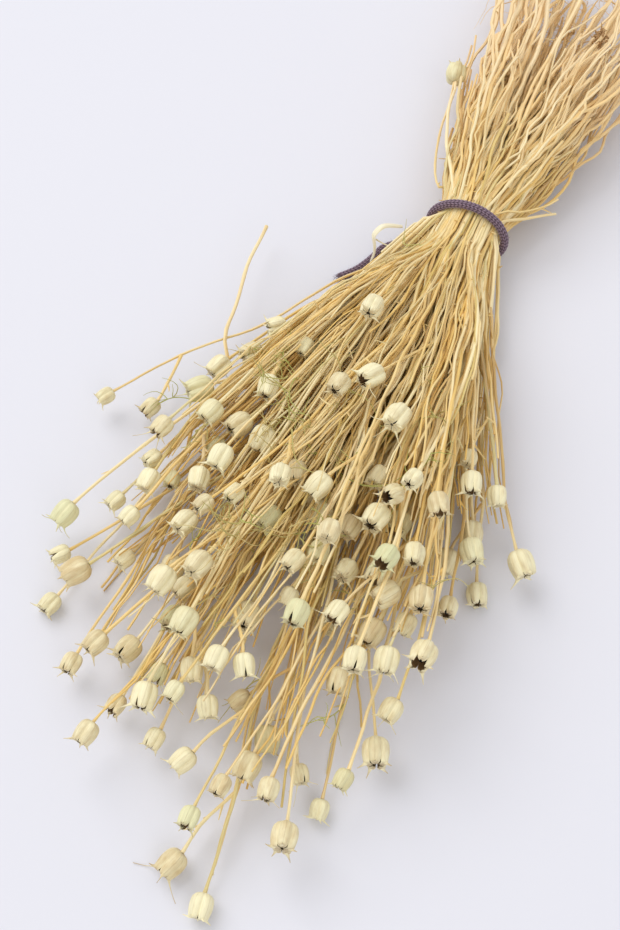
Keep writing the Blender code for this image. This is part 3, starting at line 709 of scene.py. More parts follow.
def add_spurs(form, line, tone, random):
    """Short broken twigs at random places of a stalk."""
    for _ in range(random.poisson(SPURS)):
        at = random.integers(1, len(line) - 1)
        ahead = unit(line[at + 1] - line[at])
        way = unit(ahead * random.choice(SPUR_AHEAD) + random.normal(0, SPUR_SCATTER, 3))
        length = blend(SPUR_LENGTH, random.random() ** 2)
        steps = np.linspace(0, 1, SPUR_POINTS)[:, None]
        bend = random.normal(0, SPUR_BEND, 3)
        twig = line[at] + length * (way * steps + bend * steps**2)
        thick = SPUR_RADIUS * np.linspace(*SPUR_TAPER, SPUR_POINTS)
        add_tube(form, inside_box(twig, SPUR_RADIUS), thick, tone, sides=SPUR_SIDES)


def pod_rings(openness):
    """A pod's outline from the stalk to the beaks, eased from closed to open."""
    rings = np.array(CLOSED_POD) * (1 - openness) + np.array(OPEN_POD) * openness
    ends = np.vstack((2 * rings[0] - rings[1], rings, 2 * rings[-1] - rings[-2]))
    made = []
    for four in zip(ends, ends[1:], ends[2:], ends[3:]):
        made += [through(*four, piece / RING_PIECES) for piece in range(RING_PIECES)]
    made.append(rings[-1])
    return np.clip(made, RING_LOWEST, RING_HIGHEST)


def gape(share, slit):
    """How much of a lobe's width a slit takes at a share of the way up. A slit is its start and its size."""
    start, size = slit
    inside = np.clip((share - start) / (SLIT_TO - start), 0, 1)
    return size * np.sin(math.pi * inside) ** 0.8


class Pod:
    """One pod in the making: its frame in space, and how far it has split."""

    def __init__(self, neck, tip, random):
        span = tip - neck
        self.neck, self.up = neck, unit(span)
        self.height = np.linalg.norm(span)
        self.radius = POD_RADIUS * POD_WIDEST * self.height / POD_LENGTH
        start = random.normal(0, 1, 3)
        self.side = unit(start - self.up * np.dot(start, self.up))
        self.across = np.cross(self.up, self.side)
        self.random = random
        opened = random.choice(OPENNESS, p=OPENNESS_ODDS) + random.normal(0, OPENNESS_SCATTER)
        self.openness = float(np.clip(opened, 0, 1))
        self.slits = [(SLIT_FROM, blend(SLIT_SHARE, random.random())) for _ in range(LOBES)]
        if random.random() < WIDE_SLITS:
            wide = (WIDE_SLIT_FROM, blend(WIDE_SLIT_SHARE, random.random()))
            self.slits[random.integers(LOBES)] = wide
        self.rings = pod_rings(self.openness)
        self.number = random.uniform(0, 50)
        self.beaks = blend(BEAK_LENGTHS, random.random())
        self.threads = random.random() < THREADED_PODS

    def place(self, radius, height, angle):
        """Points at shares of the pod's radius and height, and at angles round it."""
        out, up, angle = np.broadcast_arrays(radius * self.radius, height * self.height, angle)
        way = self.side * np.cos(angle)[..., None] + self.across * np.sin(angle)[..., None]
        return self.neck + self.up * up[..., None] + way * out[..., None]

    def add_lobe(self, form, lobe, tone):
        """One lobe as a thin shell, whose margins meet its neighbours' up to where the pod has split."""
        radius, height, width = self.rings.T
        share = np.linspace(0, 1, len(radius))
        flare = 1 + self.openness * self.random.normal(0, LOBE_FLARE) * share**4
        lift = 1 + self.random.normal(0, LOBE_LIFT) * share**2
        turned = np.gradient(np.column_stack((radius * self.radius, height * self.height)), axis=0)
        turned /= np.linalg.norm(turned, axis=1)[:, None]
        columns = np.linspace(-1, 1, LOBE_COLUMNS + 1)
        groove = (GROOVE + GROOVE_MORE * share)[:, None] * np.abs(columns) ** GROOVE_SHARPNESS
        left, right = gape(share, self.slits[lobe]), gape(share, self.slits[(lobe + 1) % LOBES])
        narrow = np.where(columns < 0, 1 - left[:, None], 1 - right[:, None])
        angle = (2 * lobe + columns * width[:, None] * narrow) * math.pi / LOBES
        outer = (radius * flare)[:, None] * (1 - groove)
        inner = np.maximum(outer - HUSK_THICK * turned[:, 1:], INNERMOST)
        outer_height = np.broadcast_to((height * lift)[:, None], outer.shape)
        inner_height = outer_height + HUSK_THICK * self.radius / self.height * turned[:, :1]
        sheet = self.place(outer, outer_height, angle)
        back = self.place(inner, inner_height, angle)[:, ::-1]
        places = np.concatenate((sheet, back), axis=1)
        marks = np.broadcast_to(columns, outer.shape)
        heights = np.broadcast_to(share[:, None] * 2, outer.shape)
        grain = np.stack((marks, heights, np.full(outer.shape, self.number + 2 * lobe)), -1)
        grain = np.concatenate((grain, grain[:, ::-1]), axis=1)
        sides = places.shape[1]
        # The back of each lobe takes the darker inside finish, painted shade inside the pod
        row = [HUSK] * LOBE_COLUMNS + [HUSK] + [INSIDE] * LOBE_COLUMNS + [HUSK]
        form.add(places, grain, tone, capped_wall(sides, len(radius)), row * (len(radius) - 1) + [HUSK, HUSK])
        return sheet[BEAK_ROW, LOBE_COLUMNS // 2]

    def add_beak(self, form, start, tone):
        """The beak at a lobe's rim, turned outwards, browner to its tip, on some pods with a dry thread."""
        outwards = unit(start - self.neck - self.up * np.dot(start - self.neck, self.up))
        way = unit(outwards * BEAK_OUT + self.up * BEAK_UP + self.random.normal(0, BEAK_SCATTER, 3))
        share = np.linspace(0, 1, BEAK_POINTS)
        thread = self.threads and self.random.random() < THREADED_BEAKS
        length = self.beaks * self.height * self.random.uniform(*BEAK_UNEVEN)
        length *= THREAD_LONGER if thread else 1
        curl = outwards * BEAK_CURL + self.random.normal(0, CURL_SCATTER, 3)
        steps = share[:, None]
        line = start - way * BEAK_RADIUS + (length + BEAK_RADIUS) * (way * steps + curl * steps**2)
        thin = 1 - (1 - share) ** (THREAD_FADE if thread else BEAK_FADE)
        radii = BEAK_RADIUS * self.height / POD_LENGTH * (1 - BEAK_TAPER * thin)
        places, grain = tube_rings(inside_box(line, BEAK_RADIUS / 2), radii, BEAK_SIDES)
        grain[..., 0], grain[..., 1] = 0.4, 1.35 + 0.65 * steps
        form.add(places, grain, tone, capped_wall(BEAK_SIDES, len(line)), HUSK)

    def add_core(self, form):
        """The core between the lobes, partly seeds and partly painted shade, lower in an open pod, and the
        seeds that lie on it.
        """
        lower = 1 - CORE_LOWER * self.openness
        angles = 2 * math.pi * np.arange(CORE_SIDES) / CORE_SIDES
        rings = np.array(CORE_RINGS)
        places = self.place(rings[:, :1], rings[:, 1:] * lower, angles)
        # The core stands for the inner chambers with their seeds, painted near-black as the shade inside the
        # pod
        form.add(places, places / GRAIN_LENGTH, (0, 0, 0), capped_wall(CORE_SIDES, len(rings)), HOLLOW)
        for _ in range(self.random.poisson(SEEDS_IN_OPEN * self.openness)):
            angle, out = self.random.uniform(0, 2 * math.pi), self.random.uniform(*SEED_OUT)
            height = SEED_BED * lower + SEED_ABOVE - SEED_DIP * out**2
            self.add_seed(form, self.place(out, height, angle))

    def add_seed(self, form, middle):
        """A black seed: a three-sided wedge with rounded ends."""
        turn = np.linalg.qr(self.random.normal(0, 1, (3, 3)))[0]
        shape = []
        for radius, height in SEED_RINGS:
            for angle in 2 * math.pi * np.arange(3) / 3:
                shape.append((radius * math.cos(angle), radius * math.sin(angle), height))
        places = middle + np.array(shape) @ turn * SEED_SIZE
        faces = capped_wall(3, len(SEED_RINGS))
        if np.linalg.det(turn) < 0:
            faces = [face[::-1] for face in faces]
        form.add(places, shape, (0, 0, 0), faces, BLACK)

    def draw(self, form, tone):
        self.add_core(form)
        for lobe in range(LOBES):
            beak = self.add_lobe(form, lobe, tone)
            self.add_beak(form, beak, tone)


def pod_tone(random):
    """How tan, how green and how stained a pod is. Most are ivory."""
    tan = random.beta(*POD_TAN)
    green = random.random() ** POD_GREEN_RARITY
    return tan, green, random.random()


def straw_tone(random, mean=STRAW_GOLDEN):
    """How golden, how green and how stained a stalk is."""
    golden = float(np.clip(random.normal(mean, STRAW_SCATTER), 0, 1))
    green = random.random() ** STRAW_GREEN_RARITY
    return golden, green, random.random()


def draw_spray(bunch, plant, random):
    """All stalks of one plant, with their broken twigs and pods."""
    form = Form()
    for stalk in bunch.stalks:
        if stalk["plant"] != plant:
            continue
        tone = straw_tone(random)
        line, radii = stalk_line(bunch, stalk, random)
        if stalk["pod"]:
            radii[-1] *= POD_FOOT
        add_tube(form, line, radii, tone)
        add_spurs(form, line, tone, random)
        if stalk["pod"]:
            neck, tip = bunch.points[stalk["points"][-2:]]
            Pod(neck, tip, random).draw(form, pod_tone(random))
    return form


# Materials

ROOT_FADE = (10.0 * MM, 130.0 * MM)  # the stretch over which the stalks turn rosier
FLOOR_SHADE = 0.97  # of its colour, where the floor is darker
MIX_FIRST, MIX_SECOND, MIX_RESULT = 6, 7, 2  # a Mix node's sockets for colours


class Number:
    """A number that varies over a surface. Arithmetic on it adds Math nodes."""

    def __init__(self, surface, socket):
        self.surface, self.socket = surface, socket

    def maths(self, operation, first, second=0.0):
        return self.surface.node("ShaderNodeMath", {"operation": operation}, {0: first, 1: second})

    def __add__(self, other):
        return self.maths("ADD", self, other)

    def __mul__(self, other):
        return self.maths("MULTIPLY", self, other)

    def __sub__(self, other):
        return self.maths("SUBTRACT", self, other)

    def __rsub__(self, other):
        return self.maths("SUBTRACT", other, self)

    def __abs__(self):
        return self.maths("ABSOLUTE", self)

    __radd__ = __add__
    __rmul__ = __mul__

    def above(self, low, high):
        """0 below low and 1 above high, smooth between."""
        settings = {"interpolation_type": "SMOOTHSTEP"}
        return self.surface.node("ShaderNodeMapRange", settings, {0: self, 1: low, 2: high})


class Surface:
    """A material built round one Principled shader. fixed holds that shader's constant sockets."""

    def __init__(self, name, fixed):
        self.material = bpy.data.materials.new(name)
        self.material.use_nodes = True
        self.tree = self.material.node_tree
        self.shader = self.tree.nodes["Principled BSDF"]
        for socket, value in fixed.items():
            self.shader.inputs[socket].default_value = value

    def node(self, kind, settings=None, inputs=None, output=0):
        """Any node: its type, its settings, which are set first, and the values or links of its sockets."""
        node = self.tree.nodes.new(kind)
        for setting, value in (settings or {}).items():
            setattr(node, setting, value)
        for socket, value in (inputs or {}).items():
            self.feed(node.inputs[socket], value)
        return Number(self, node.outputs[output])

    def feed(self, socket, value):
        if isinstance(value, Number):
            self.tree.links.new(value.socket, socket)
        else:
            socket.default_value = value

    def mark(self, label):
        """One of the marks that the piece's vertices carry, as a vector."""
        return self.node("ShaderNodeAttribute", {"attribute_name": label}, output="Vector")

    def parts(self, vector):
        split = self.tree.nodes.new("ShaderNodeSeparateXYZ")
        self.feed(split.inputs[0], vector)
        return [Number(self, output) for output in split.outputs]

    def stretched(self, vector, by):
        return self.node("ShaderNodeVectorMath", {"operation": "MULTIPLY"}, {0: vector, 1: by})

    def noise(self, vector, scale, detail=3.0):
        return self.node("ShaderNodeTexNoise", None, {"Vector": vector, "Scale": scale, "Detail": detail})

    def mix(self, share, first, second):
        """A colour between two: the first at 0 and the second at 1."""
        inputs = {"Factor": share, MIX_FIRST: self.colour(first), MIX_SECOND: self.colour(second)}
        return self.node("ShaderNodeMix", {"data_type": "RGBA"}, inputs, output=MIX_RESULT)

    @staticmethod
    def colour(value):
        return value if isinstance(value, Number) else (*value, 1.0)

    def finish(self, colour, roughness, height=None, depth=0.0, strength=0.5):
        """Feeds the shader and returns the material. height is relief of that depth."""
        self.feed(self.shader.inputs["Base Color"], self.colour(colour))
        self.feed(self.shader.inputs["Roughness"], roughness)
        if height is not None:
            inputs = {"Height": height, "Distance": depth, "Strength": strength}
            bump = self.node("ShaderNodeBump", None, inputs)
            self.feed(self.shader.inputs["Normal"], bump)
        return self.material


@functools.cache
def finish_of(name):
    return FINISH_MAKERS[name]()


def straw_finish():
    """Dry straw: cream to golden, streaked along, browner in patches, finely ribbed, rosier at the roots."""
    look = bpy.context.scene.nigella
    surface = Surface("straw", {"Specular IOR Level": 0.5})
    golden, green, stained = surface.parts(surface.mark("tone"))
    grain = surface.mark("grain")
    streaks = surface.noise(surface.stretched(grain, (2.4, 2.4, 0.35)), 1.6, 4.0)
    patches = surface.noise(surface.stretched(grain, (0.3, 0.3, 0.22)), 1.0, 2.0)
    fibres = surface.noise(surface.stretched(grain, (6.0, 6.0, 0.5)), 2.0, 2.0)
    # For loose stems that lie low, the golden and stain channels also carry painted shade, mixed in as golden
    # here and brown below
    share = (golden * 0.75 + patches * 0.9 + streaks * 0.35 - 0.42).above(0.0, 1.0)
    colour = surface.mix(share, look.pale_straw, look.golden_straw)
    brown = (patches * 0.8 + stained * 0.5).above(0.72, 1.05) * 0.55
    colour = surface.mix(brown, colour, look.brown_straw)
    colour = surface.mix(green * 0.5, colour, look.green_straw)
    colour = surface.mix(fibres.above(0.55, 0.8) * 0.35, colour, look.brown_straw)
    _, along, _ = surface.parts(surface.node("ShaderNodeTexCoord", output="Object"))
    colour = surface.mix(along.above(*ROOT_FADE) * 0.5, colour, look.root_straw)
    return surface.finish(colour, 0.30 + streaks * 0.3, fibres + streaks * 0.5, 0.25 * MM, 0.5)


def husk_finish():
    """Papery husk: ivory to tan, veined, paler at the margins, blushed brown at the base and the beaks."""
    look = bpy.context.scene.nigella
    surface = Surface("pod husk", {"Specular IOR Level": 0.45, "Sheen Weight": 0.05})
    tan, green, stained = surface.parts(surface.mark("tone"))
    grain = surface.mark("grain")
    across, up, _ = surface.parts(grain)
    clouds = surface.noise(surface.stretched(grain, (0.8, 1.0, 1.0)), 1.4, 4.0)
    veins = surface.noise(surface.stretched(grain, (5.0, 0.7, 1.0)), 2.2, 3.0)
    share = (tan * 0.75 + clouds * 1.2 - 0.6).above(0.0, 1.0)
    colour = surface.mix(share, look.ivory_husk, look.tan_husk)
    colour = surface.mix((green * 0.9 + clouds * 0.1) * 0.75, colour, look.green_husk)
    ends = up.above(1.45, 2.0) + (1 - up.above(0.0, 0.45)) * 0.6
    colour = surface.mix(ends * (0.15 + stained * 0.5), colour, look.brown_husk)
    margin = abs(across).above(0.72, 0.98)
    colour = surface.mix(margin * 0.35, colour, look.ivory_husk)
    rib = 1 - abs(across).above(0.0, 0.10)
    colour = surface.mix(rib * 0.18 + veins.above(0.5, 0.75) * 0.22, colour, look.brown_husk)
    return surface.finish(colour, 0.36 + clouds * 0.3, veins + rib * 0.6, 0.3 * MM, 0.6)


def inside_finish():
    """The inside of a husk: tan, mottled brown, darker than the outside as painted shade inside the pod; also
    the brown of the root clump.
    """
    surface = Surface("pod inside", {"Specular IOR Level": 0.3})
    mottle = surface.noise(surface.mark("grain"), 3.0, 3.0)
    colour = surface.mix(mottle, (0.28, 0.15, 0.06), (0.60, 0.38, 0.18))
    return surface.finish(colour, 0.5 + mottle * 0.2)


def hollow_finish():
    """The core between the lobes: brown, close to black; partly the pod's dark seeds, partly painted shade
    inside the pod.
    """
    surface = Surface("pod hollow", {"Specular IOR Level": 0.15})
    mottle = surface.noise(surface.mark("grain"), 4.0, 2.0)
    colour = surface.mix(mottle, (0.010, 0.007, 0.005), (0.05, 0.03, 0.016))
    return surface.finish(colour, 0.85 + mottle * 0.1)


def seed_finish():
    """Black seed: dull and finely pitted."""
    surface = Surface("black seed", {"Specular IOR Level": 0.4})
    pits = surface.noise(surface.mark("grain"), 9.0, 2.0)
    colour = surface.mix(pits, (0.006, 0.006, 0.007), (0.03, 0.028, 0.026))
    return surface.finish(colour, 0.55 + pits * 0.2, pits, 0.15 * MM, 0.6)


def leaf_finish():
    """Thread leaves: straw yellow to moss green."""
    surface = Surface("thread leaf", {"Specular IOR Level": 0.3})
    _, green, stained = surface.parts(surface.mark("tone"))
    streaks = surface.noise(surface.stretched(surface.mark("grain"), (1, 1, 0.8)), 2.0, 2.0)
    colour = surface.mix(green, (0.72, 0.55, 0.26), (0.42, 0.45, 0.12))
    colour = surface.mix(streaks.above(0.4, 0.8) * stained, colour, (0.35, 0.24, 0.09))
    return surface.finish(colour, 0.55 + streaks * 0.2)


def cord_finish():
    """Knitted cord: dark plum yarn, painted darker between its stitches as shade and greyer on their tops as
    highlight.
    """
    look = bpy.context.scene.nigella
    fixed = {"Sheen Weight": 0.35, "Sheen Roughness": 0.4, "Specular IOR Level": 0.2}
    surface = Surface("knitted cord", fixed)
    grain = surface.mark("grain")
    lift, _, worn = surface.parts(surface.mark("tone"))
    fuzz = surface.noise(surface.stretched(grain, (3, 3, 6)), 3.0, 4.0)
    # Painted highlight on the stitch tops and painted shade between them, set by each point's height in its
    # stitch
    colour = surface.mix(lift.above(0.15, 0.95) * (0.55 + fuzz * 0.5), look.cord_painted_shade, look.cord_painted_highlight)
    return surface.finish(colour, 0.85 + worn * 0.1, fuzz, 0.2 * MM, 0.6)


def pale_leaf_finish():
    """A bleached dry leaf: cream, faintly veined along."""
    surface = Surface("pale leaf", {"Specular IOR Level": 0.3, "Sheen Weight": 0.1})
    veins = surface.noise(surface.stretched(surface.mark("grain"), (5, 1, 0.4)), 2.0, 3.0)
    colour = surface.mix(veins.above(0.4, 0.8), (0.95, 0.90, 0.70), (0.78, 0.66, 0.40))
    return surface.finish(colour, 0.5 + veins * 0.2, veins, 0.2 * MM, 0.5)


def floor_finish():
    """A smooth pale surface, very slightly uneven in tone."""
    look = bpy.context.scene.nigella
    surface = Surface("floor", {"Specular IOR Level": 0.2})
    place = surface.node("ShaderNodeTexCoord", output="Object")
    clouds = surface.noise(place, 1.5, 2.0)
    darker = tuple(FLOOR_SHADE * channel for channel in look.floor_colour)
    colour = surface.mix(clouds, look.floor_colour, darker)
    return surface.finish(colour, 0.7 + clouds * 0.1)


FINISH_MAKERS = {
    "straw": straw_finish,
    "pod husk": husk_finish,
    "pod inside": inside_finish,
    "pod hollow": hollow_finish,
    "black seed": seed_finish,
    "thread leaf": leaf_finish,
    "knitted cord": cord_finish,
    "pale leaf": pale_leaf_finish,
    "floor": floor_finish,
}


# The knitted band

COLUMN_POINTS, PITCH_RINGS = 10, 7  # points across a column of stitches, and rings for one stitch
STITCH_SLANT, STITCH_ROUND, STITCH_VALLEY = 0.62, 0.6, 0.25  # the last is the height between two columns
BAND_FULLNESS = 0.88  # the drawn cord's share of the solid ring's thickness
BAND_POINTS, BAND_FUZZ = 181, 420
KNOT_POINTS, KNOT_FUZZ, KNOT_TILT, KNOT_START, KNOT_DEPTH = 121, 80, 0.4, 0.4, 1.15
KNOT_SCALE, KNOT_CORD_RADIUS = 0.74 * MM, 1.72 * MM
# The stub between the knot and the loose end: its dip, its overlap, and its share of that end's thickness
STUB_DIP, STUB_OVERLAP, STUB_FULLNESS = (0, -0.3 * MM, 0.3 * MM), (0.4 * MM, 0.15 * MM, 0), 0.93
LOOSE_END_FINE, LOOSE_END_FUZZ = 0.5 * MM, 160
FRAY_COUNT, FRAY_LENGTH, FRAY_POINTS, FRAY_SIDES = 46, (1.0 * MM, 2.8 * MM), 5, 4
FRAY_WITHIN, FRAY_ROOTED, FRAY_AHEAD = 0.85, 0.4 * MM, 1.6
FRAY_SCATTER, FRAY_CURL = 0.45, 0.25
FUZZ_ROOTED, FUZZ_LENGTH, FUZZ_RADIUS = 0.25 * MM, (0.6 * MM, 1.8 * MM), 0.045 * MM
FUZZ_SCATTER, FUZZ_CURL, FUZZ_LOWEST = 0.7, 0.5, 0.1 * MM
FUZZ_POINTS, FUZZ_SIDES, FUZZ_TIP = 4, 3, 0.3
# The fuzz and frayed yarn count as stitch tops, so they take mostly the painted highlight colour
YARN_RADIUS, YARN_TIP, YARN_TONE = 0.14 * MM, 0.5, (1, 0, 0.5)


def dense_line(places, count):
    """The line with its points moved to be evenly spaced."""
    along = lengths_along(places)
    at = np.linspace(0, along[-1], count)
    return np.column_stack([np.interp(at, along, places[:, axis]) for axis in range(3)])


def knit(form, line, radius, across=None, loop=False):
    """A knitted cord along a line, with columns of V-shaped stitches round it. A loop's line ends where
    it starts. The tone says how high in its stitch each point stands."""
    look = bpy.context.scene.nigella
    along = lengths_along(line)
    count = max(4, round(along[-1] / look.stitch_pitch))
    line = dense_line(line, count * PITCH_RINGS + 1)
    if across is None:
        side, up = frames_along(line)
    else:
        ahead = np.gradient(line, axis=0)
        ahead /= np.linalg.norm(ahead, axis=1)[:, None]
        side = across(line) - ahead * (across(line) * ahead).sum(1)[:, None]
        side /= np.linalg.norm(side, axis=1)[:, None]
        up = np.cross(ahead, side)
    sides = look.stitch_columns * COLUMN_POINTS
    turns = 2 * math.pi * np.arange(sides) / sides
    leg = np.abs(np.arange(sides) / COLUMN_POINTS % 1 * 2 - 1)
    rows = np.arange(len(line))[:, None] / PITCH_RINGS + STITCH_SLANT * leg
    crown = STITCH_VALLEY + (1 - STITCH_VALLEY) * np.sin(math.pi * leg) ** 0.5
    stitch = np.abs(np.sin(math.pi * rows)) ** STITCH_ROUND * crown
    swell = radius * (1 - look.stitch_depth * (1 - stitch))
    ways = side[:, None] * np.cos(turns)[:, None] + up[:, None] * np.sin(turns)[:, None]
    places = line[:, None] + ways * swell[..., None]
    grain = np.empty_like(places)
    grain[..., 0], grain[..., 1] = np.cos(turns), np.sin(turns)
    grain[..., 2] = lengths_along(line)[:, None] / GRAIN_LENGTH
    tone = np.zeros_like(places)
    # The stitch height sets the painted highlight on the stitch tops and the painted shade between them
    tone[..., 0] = stitch
    rings = len(line)
    if loop:
        total = (rings - 1) * sides
        faces = [tuple(number % total for number in face) for face in wall(sides, rings)]
        places, grain, tone = places[:-1], grain[:-1], tone[:-1]
    else:
        faces = capped_wall(sides, rings)
    places[..., 2] = np.maximum(places[..., 2], 0)
    form.add(places, grain, tone.reshape(-1, 3), faces, ONLY)
    return places, ways


def add_fuzz(form, places, ways, count, random):
    """Fine fibres that stand off the yarn."""
    flat, out = places.reshape(-1, 3), ways[: len(places)].reshape(-1, 3)
    steps = np.linspace(0, 1, FUZZ_POINTS)[:, None]
    thick = np.linspace(FUZZ_RADIUS, FUZZ_TIP * FUZZ_RADIUS, FUZZ_POINTS)
    for at in random.integers(len(flat), size=count):
        way = unit(out[at] + random.normal(0, FUZZ_SCATTER, 3))
        curl = random.normal(0, FUZZ_CURL, 3)
        length = blend(FUZZ_LENGTH, random.random())
        line = flat[at] - out[at] * FUZZ_ROOTED + length * (way * steps + curl * steps**2)
        if line[:, 2].min() > FUZZ_LOWEST:
            add_tube(form, line, thick, YARN_TONE, ONLY, FUZZ_SIDES)


def out_of_band(line):
    """The directions from the middle of the band's hole to a line's points, without their part along Y."""
    return (line - (0, 0, BAND_MIDDLE)) * (1, 0, 1)


def draw_band(random):
    """The band round the bunch, its trefoil knot and the start of its loose end."""
    form = Form()
    angles = np.linspace(-0.5 * math.pi, 1.5 * math.pi, BAND_POINTS)
    line = np.array([band_place(angle) for angle in angles])
    placed = knit(form, line, BAND_FULLNESS * BAND_THICK / 2, out_of_band, loop=True)
    add_fuzz(form, *placed, BAND_FUZZ, random)
    middle = band_place(math.radians(KNOT_BEARING)) + np.array(KNOT_OFFSET) * MM
    outward = unit(out_of_band(middle) + (0, -KNOT_TILT * BAND_HALF_WIDTH, 0))
    side = unit(np.cross(outward, (0, 1, 0)))
    frame_of_knot = np.array((side, np.cross(outward, side), outward))
    turn = np.linspace(KNOT_START, KNOT_START + 2 * math.pi, KNOT_POINTS)
    knotted = np.column_stack((
        np.sin(turn) + 2 * np.sin(2 * turn),
        np.cos(turn) - 2 * np.cos(2 * turn),
        -np.sin(3 * turn) * KNOT_DEPTH,
    ))
    placed = knit(form, middle + knotted @ frame_of_knot * KNOT_SCALE, KNOT_CORD_RADIUS)
    add_fuzz(form, *placed, KNOT_FUZZ, random)
    exit_at = np.array(LOOSE_END_ROUTE[0]) * MM
    stub = np.array((middle, middle * 0.5 + exit_at * 0.5 + STUB_DIP, exit_at + STUB_OVERLAP))
    knit(form, smooth_line(stub, 1 * MM)[0], STUB_FULLNESS * LOOSE_END_THICK / 2)
    return form


def draw_loose_end(random):
    """The band's loose end with its frayed tip, and the line that it follows."""
    form = Form()
    line, _ = smooth_line(np.array(LOOSE_END_ROUTE) * MM, LOOSE_END_SPACING)
    dense, _ = smooth_line(line, LOOSE_END_FINE)
    placed = knit(form, dense, LOOSE_END_THICK / 2)
    add_fuzz(form, *placed, LOOSE_END_FUZZ, random)
    tip, ahead = dense[-1], unit(dense[-1] - dense[-4])
    side, up = (rows[-1] for rows in frames_along(dense))
    steps = np.linspace(0, 1, FRAY_POINTS)[:, None]
    thick = np.linspace(YARN_RADIUS, YARN_TIP * YARN_RADIUS, FRAY_POINTS)
    for _ in range(FRAY_COUNT):
        angle, out = random.uniform(0, 2 * math.pi), FRAY_WITHIN * math.sqrt(random.random())
        start = tip + (side * math.cos(angle) + up * math.sin(angle)) * out * LOOSE_END_THICK / 2
        start[2] = max(start[2], 2 * YARN_RADIUS)
        way = unit(ahead * FRAY_AHEAD + random.normal(0, FRAY_SCATTER, 3))
        length = blend(FRAY_LENGTH, random.random())
        curl = random.normal(0, FRAY_CURL, 3)
        yarn = start - ahead * FRAY_ROOTED + length * (way * steps + curl * steps**2)
        yarn[:, 2] = np.maximum(yarn[:, 2], YARN_RADIUS)
        add_tube(form, yarn, thick, YARN_TONE, ONLY, FRAY_SIDES)
    return form, line


# Loose stems, leaves and roots

THROUGH_BAND = 7  # a stalk with more points than this passes through the band
HEX_OFFSET = SITE_PITCH / math.sqrt(3)  # from a stalk in the band to the room between three
LOOSE_GROUPS = 4
LOOSE_SPREAD, LOOSE_FULL_AT = (2.0 * MM, 15.0 * MM), 105.0 * MM
LOOSE_SCATTER, LOOSE_RISE = (1, 0.3, 0.6), 0.3  # mostly sideways, and seldom far above a stalk
LOOSE_RADIUS, LOOSE_TAPER, LOOSE_CLEAR = (0.42 * MM, 0.88 * MM), (1.1, 0.62), 1.1
LOOSE_WAVES, LOOSE_GOLDEN = 2.0, 0.42
LOOSE_TO, LOOSE_TO_POWER, FEWEST_POINTS = (0.42, 1.0), 0.40, 4  # where one ends between the band and the pod
FROM_ROOTS, LOOSE_FROM = 0.16, (0.25, 0.9)  # share that starts at the roots, and where the others start
EDGE_FROM, FAR_LEFT = 40.0 * MM, -100.0 * MM  # beyond the first, loose stems keep to a stalk's inner side
EDGE_COPIES, EDGE_SHIFT, EDGE_INWARDS = 6, 1.2 * MM, 0.72  # stems on one route, shifted and drawn inwards
CROWDED_LEFT, CROWDING = -30.0 * MM, 1.7  # beyond the first, stalks have more loose stems beside them
# Loose stems that lie low are painted browner, as painted shade deep in the bunch
SHADE_BELOW, SHADE_GOLDEN, SHADE_BROWN = 24.0 * MM, 0.35, 0.4  # loose stems lower than this are browner
AT_BAND_EDGE, BAND_EDGE = 0.45, 0.95  # share of the loose stems that lie against the band, and where
STRAY_RADIUS, STRAY_TAPER, STRAY_THICKNESS = 0.9 * MM, (1.0 * MM, 0.6 * MM), (0.7, 1.0)
STRAY_WAVES, STRAY_GOLDEN = 0.9, 0.25
SECOND_PALE = ((-12, 14, 27), (-19, 28, 27), (-27, 42, 26), (-35, 66, 24), (-38, 84, 21), (-40.5, 92, 20))
SECOND_TAPER, SECOND_WAVES, SECOND_TONE = (1.05 * MM, 0.7 * MM), 0.5, (0.0, 0.05, 0.0)
LEFT_EDGE = (
    (
        (-12, 14, 22), (-17, 4, 23), (-19.5, 0, 22), (-25, -8, 20),
        (-32, -24, 16), (-40, -42, 14), (-52, -72, 12), (-72, -112, 12),
    ),
    (
        (-10, 16, 17), (-16, 4, 16), (-20, -2, 16), (-26, -14, 14),
        (-34, -32, 12), (-46, -60, 10), (-66, -104, 9),
    ),
    (
        (-8, 20, 27), (-14, 3, 28), (-18, -4, 27), (-25, -18, 23),
        (-34, -38, 20), (-50, -76, 17), (-70, -118, 16),
    ),
    ((-12, 18, 12), (-16, 3, 12), (-20, -6, 10), (-30, -26, 9), (-38, -48, 8), (-54, -84, 8)),
    ((-9, 20, 22), (-16, 4, 24), (-22, -8, 23), (-31, -28, 20), (-42, -56, 17), (-52, -80, 15)),
)
RIGHT_EDGE = (
    (
        (13, 22, 18), (16, 6, 19), (19, -5, 17), (25, -22, 14),
        (32, -44, 13), (41, -70, 12), (57, -115, 12), (60, -128, 12),
    ),
    ((14, 20, 12), (17, 5, 13), (19, -8, 12), (24, -25, 9), (31, -48, 8), (42, -80, 8), (52, -110, 9)),
    ((10, 20, 25), (15, 6, 25), (19, -6, 22), (25, -24, 19), (33, -50, 17), (44, -84, 18), (48, -104, 20)),
    ((12, 24, 8), (15, 6, 9), (17, -10, 8), (22, -32, 6), (29, -60, 5), (38, -94, 6)),
)
ROOT_STRAYS = (
    ((6, -12, 28), (12, 8, 31), (21, 15, 28), (32, 28, 25), (35, 33, 25)),
    ((9, -14, 24), (14, 6, 26), (24, 17, 23), (36, 29, 19)),
    ((2, -16, 28), (7, 8, 32), (16, 38, 38), (30, 78, 46), (40, 110, 52)),
    ((-4, -12, 28), (-8, 10, 31), (-12, 34, 36), (-20, 66, 42), (-28, 100, 48)),
)
PALE_LEAF = (
    (-29.5, -8.5, 19.5), (-35, -13, 23), (-38, -17, 24.5), (-40, -22, 22.5),
    (-38.5, -24, 18), (-38, -25, 13), (-39, -25.5, 7),
)
PALE_LEAF_WIDE, PALE_LEAF_THICK, PALE_LEAF_TWIST = 2.1 * MM, 0.16 * MM, 1.2
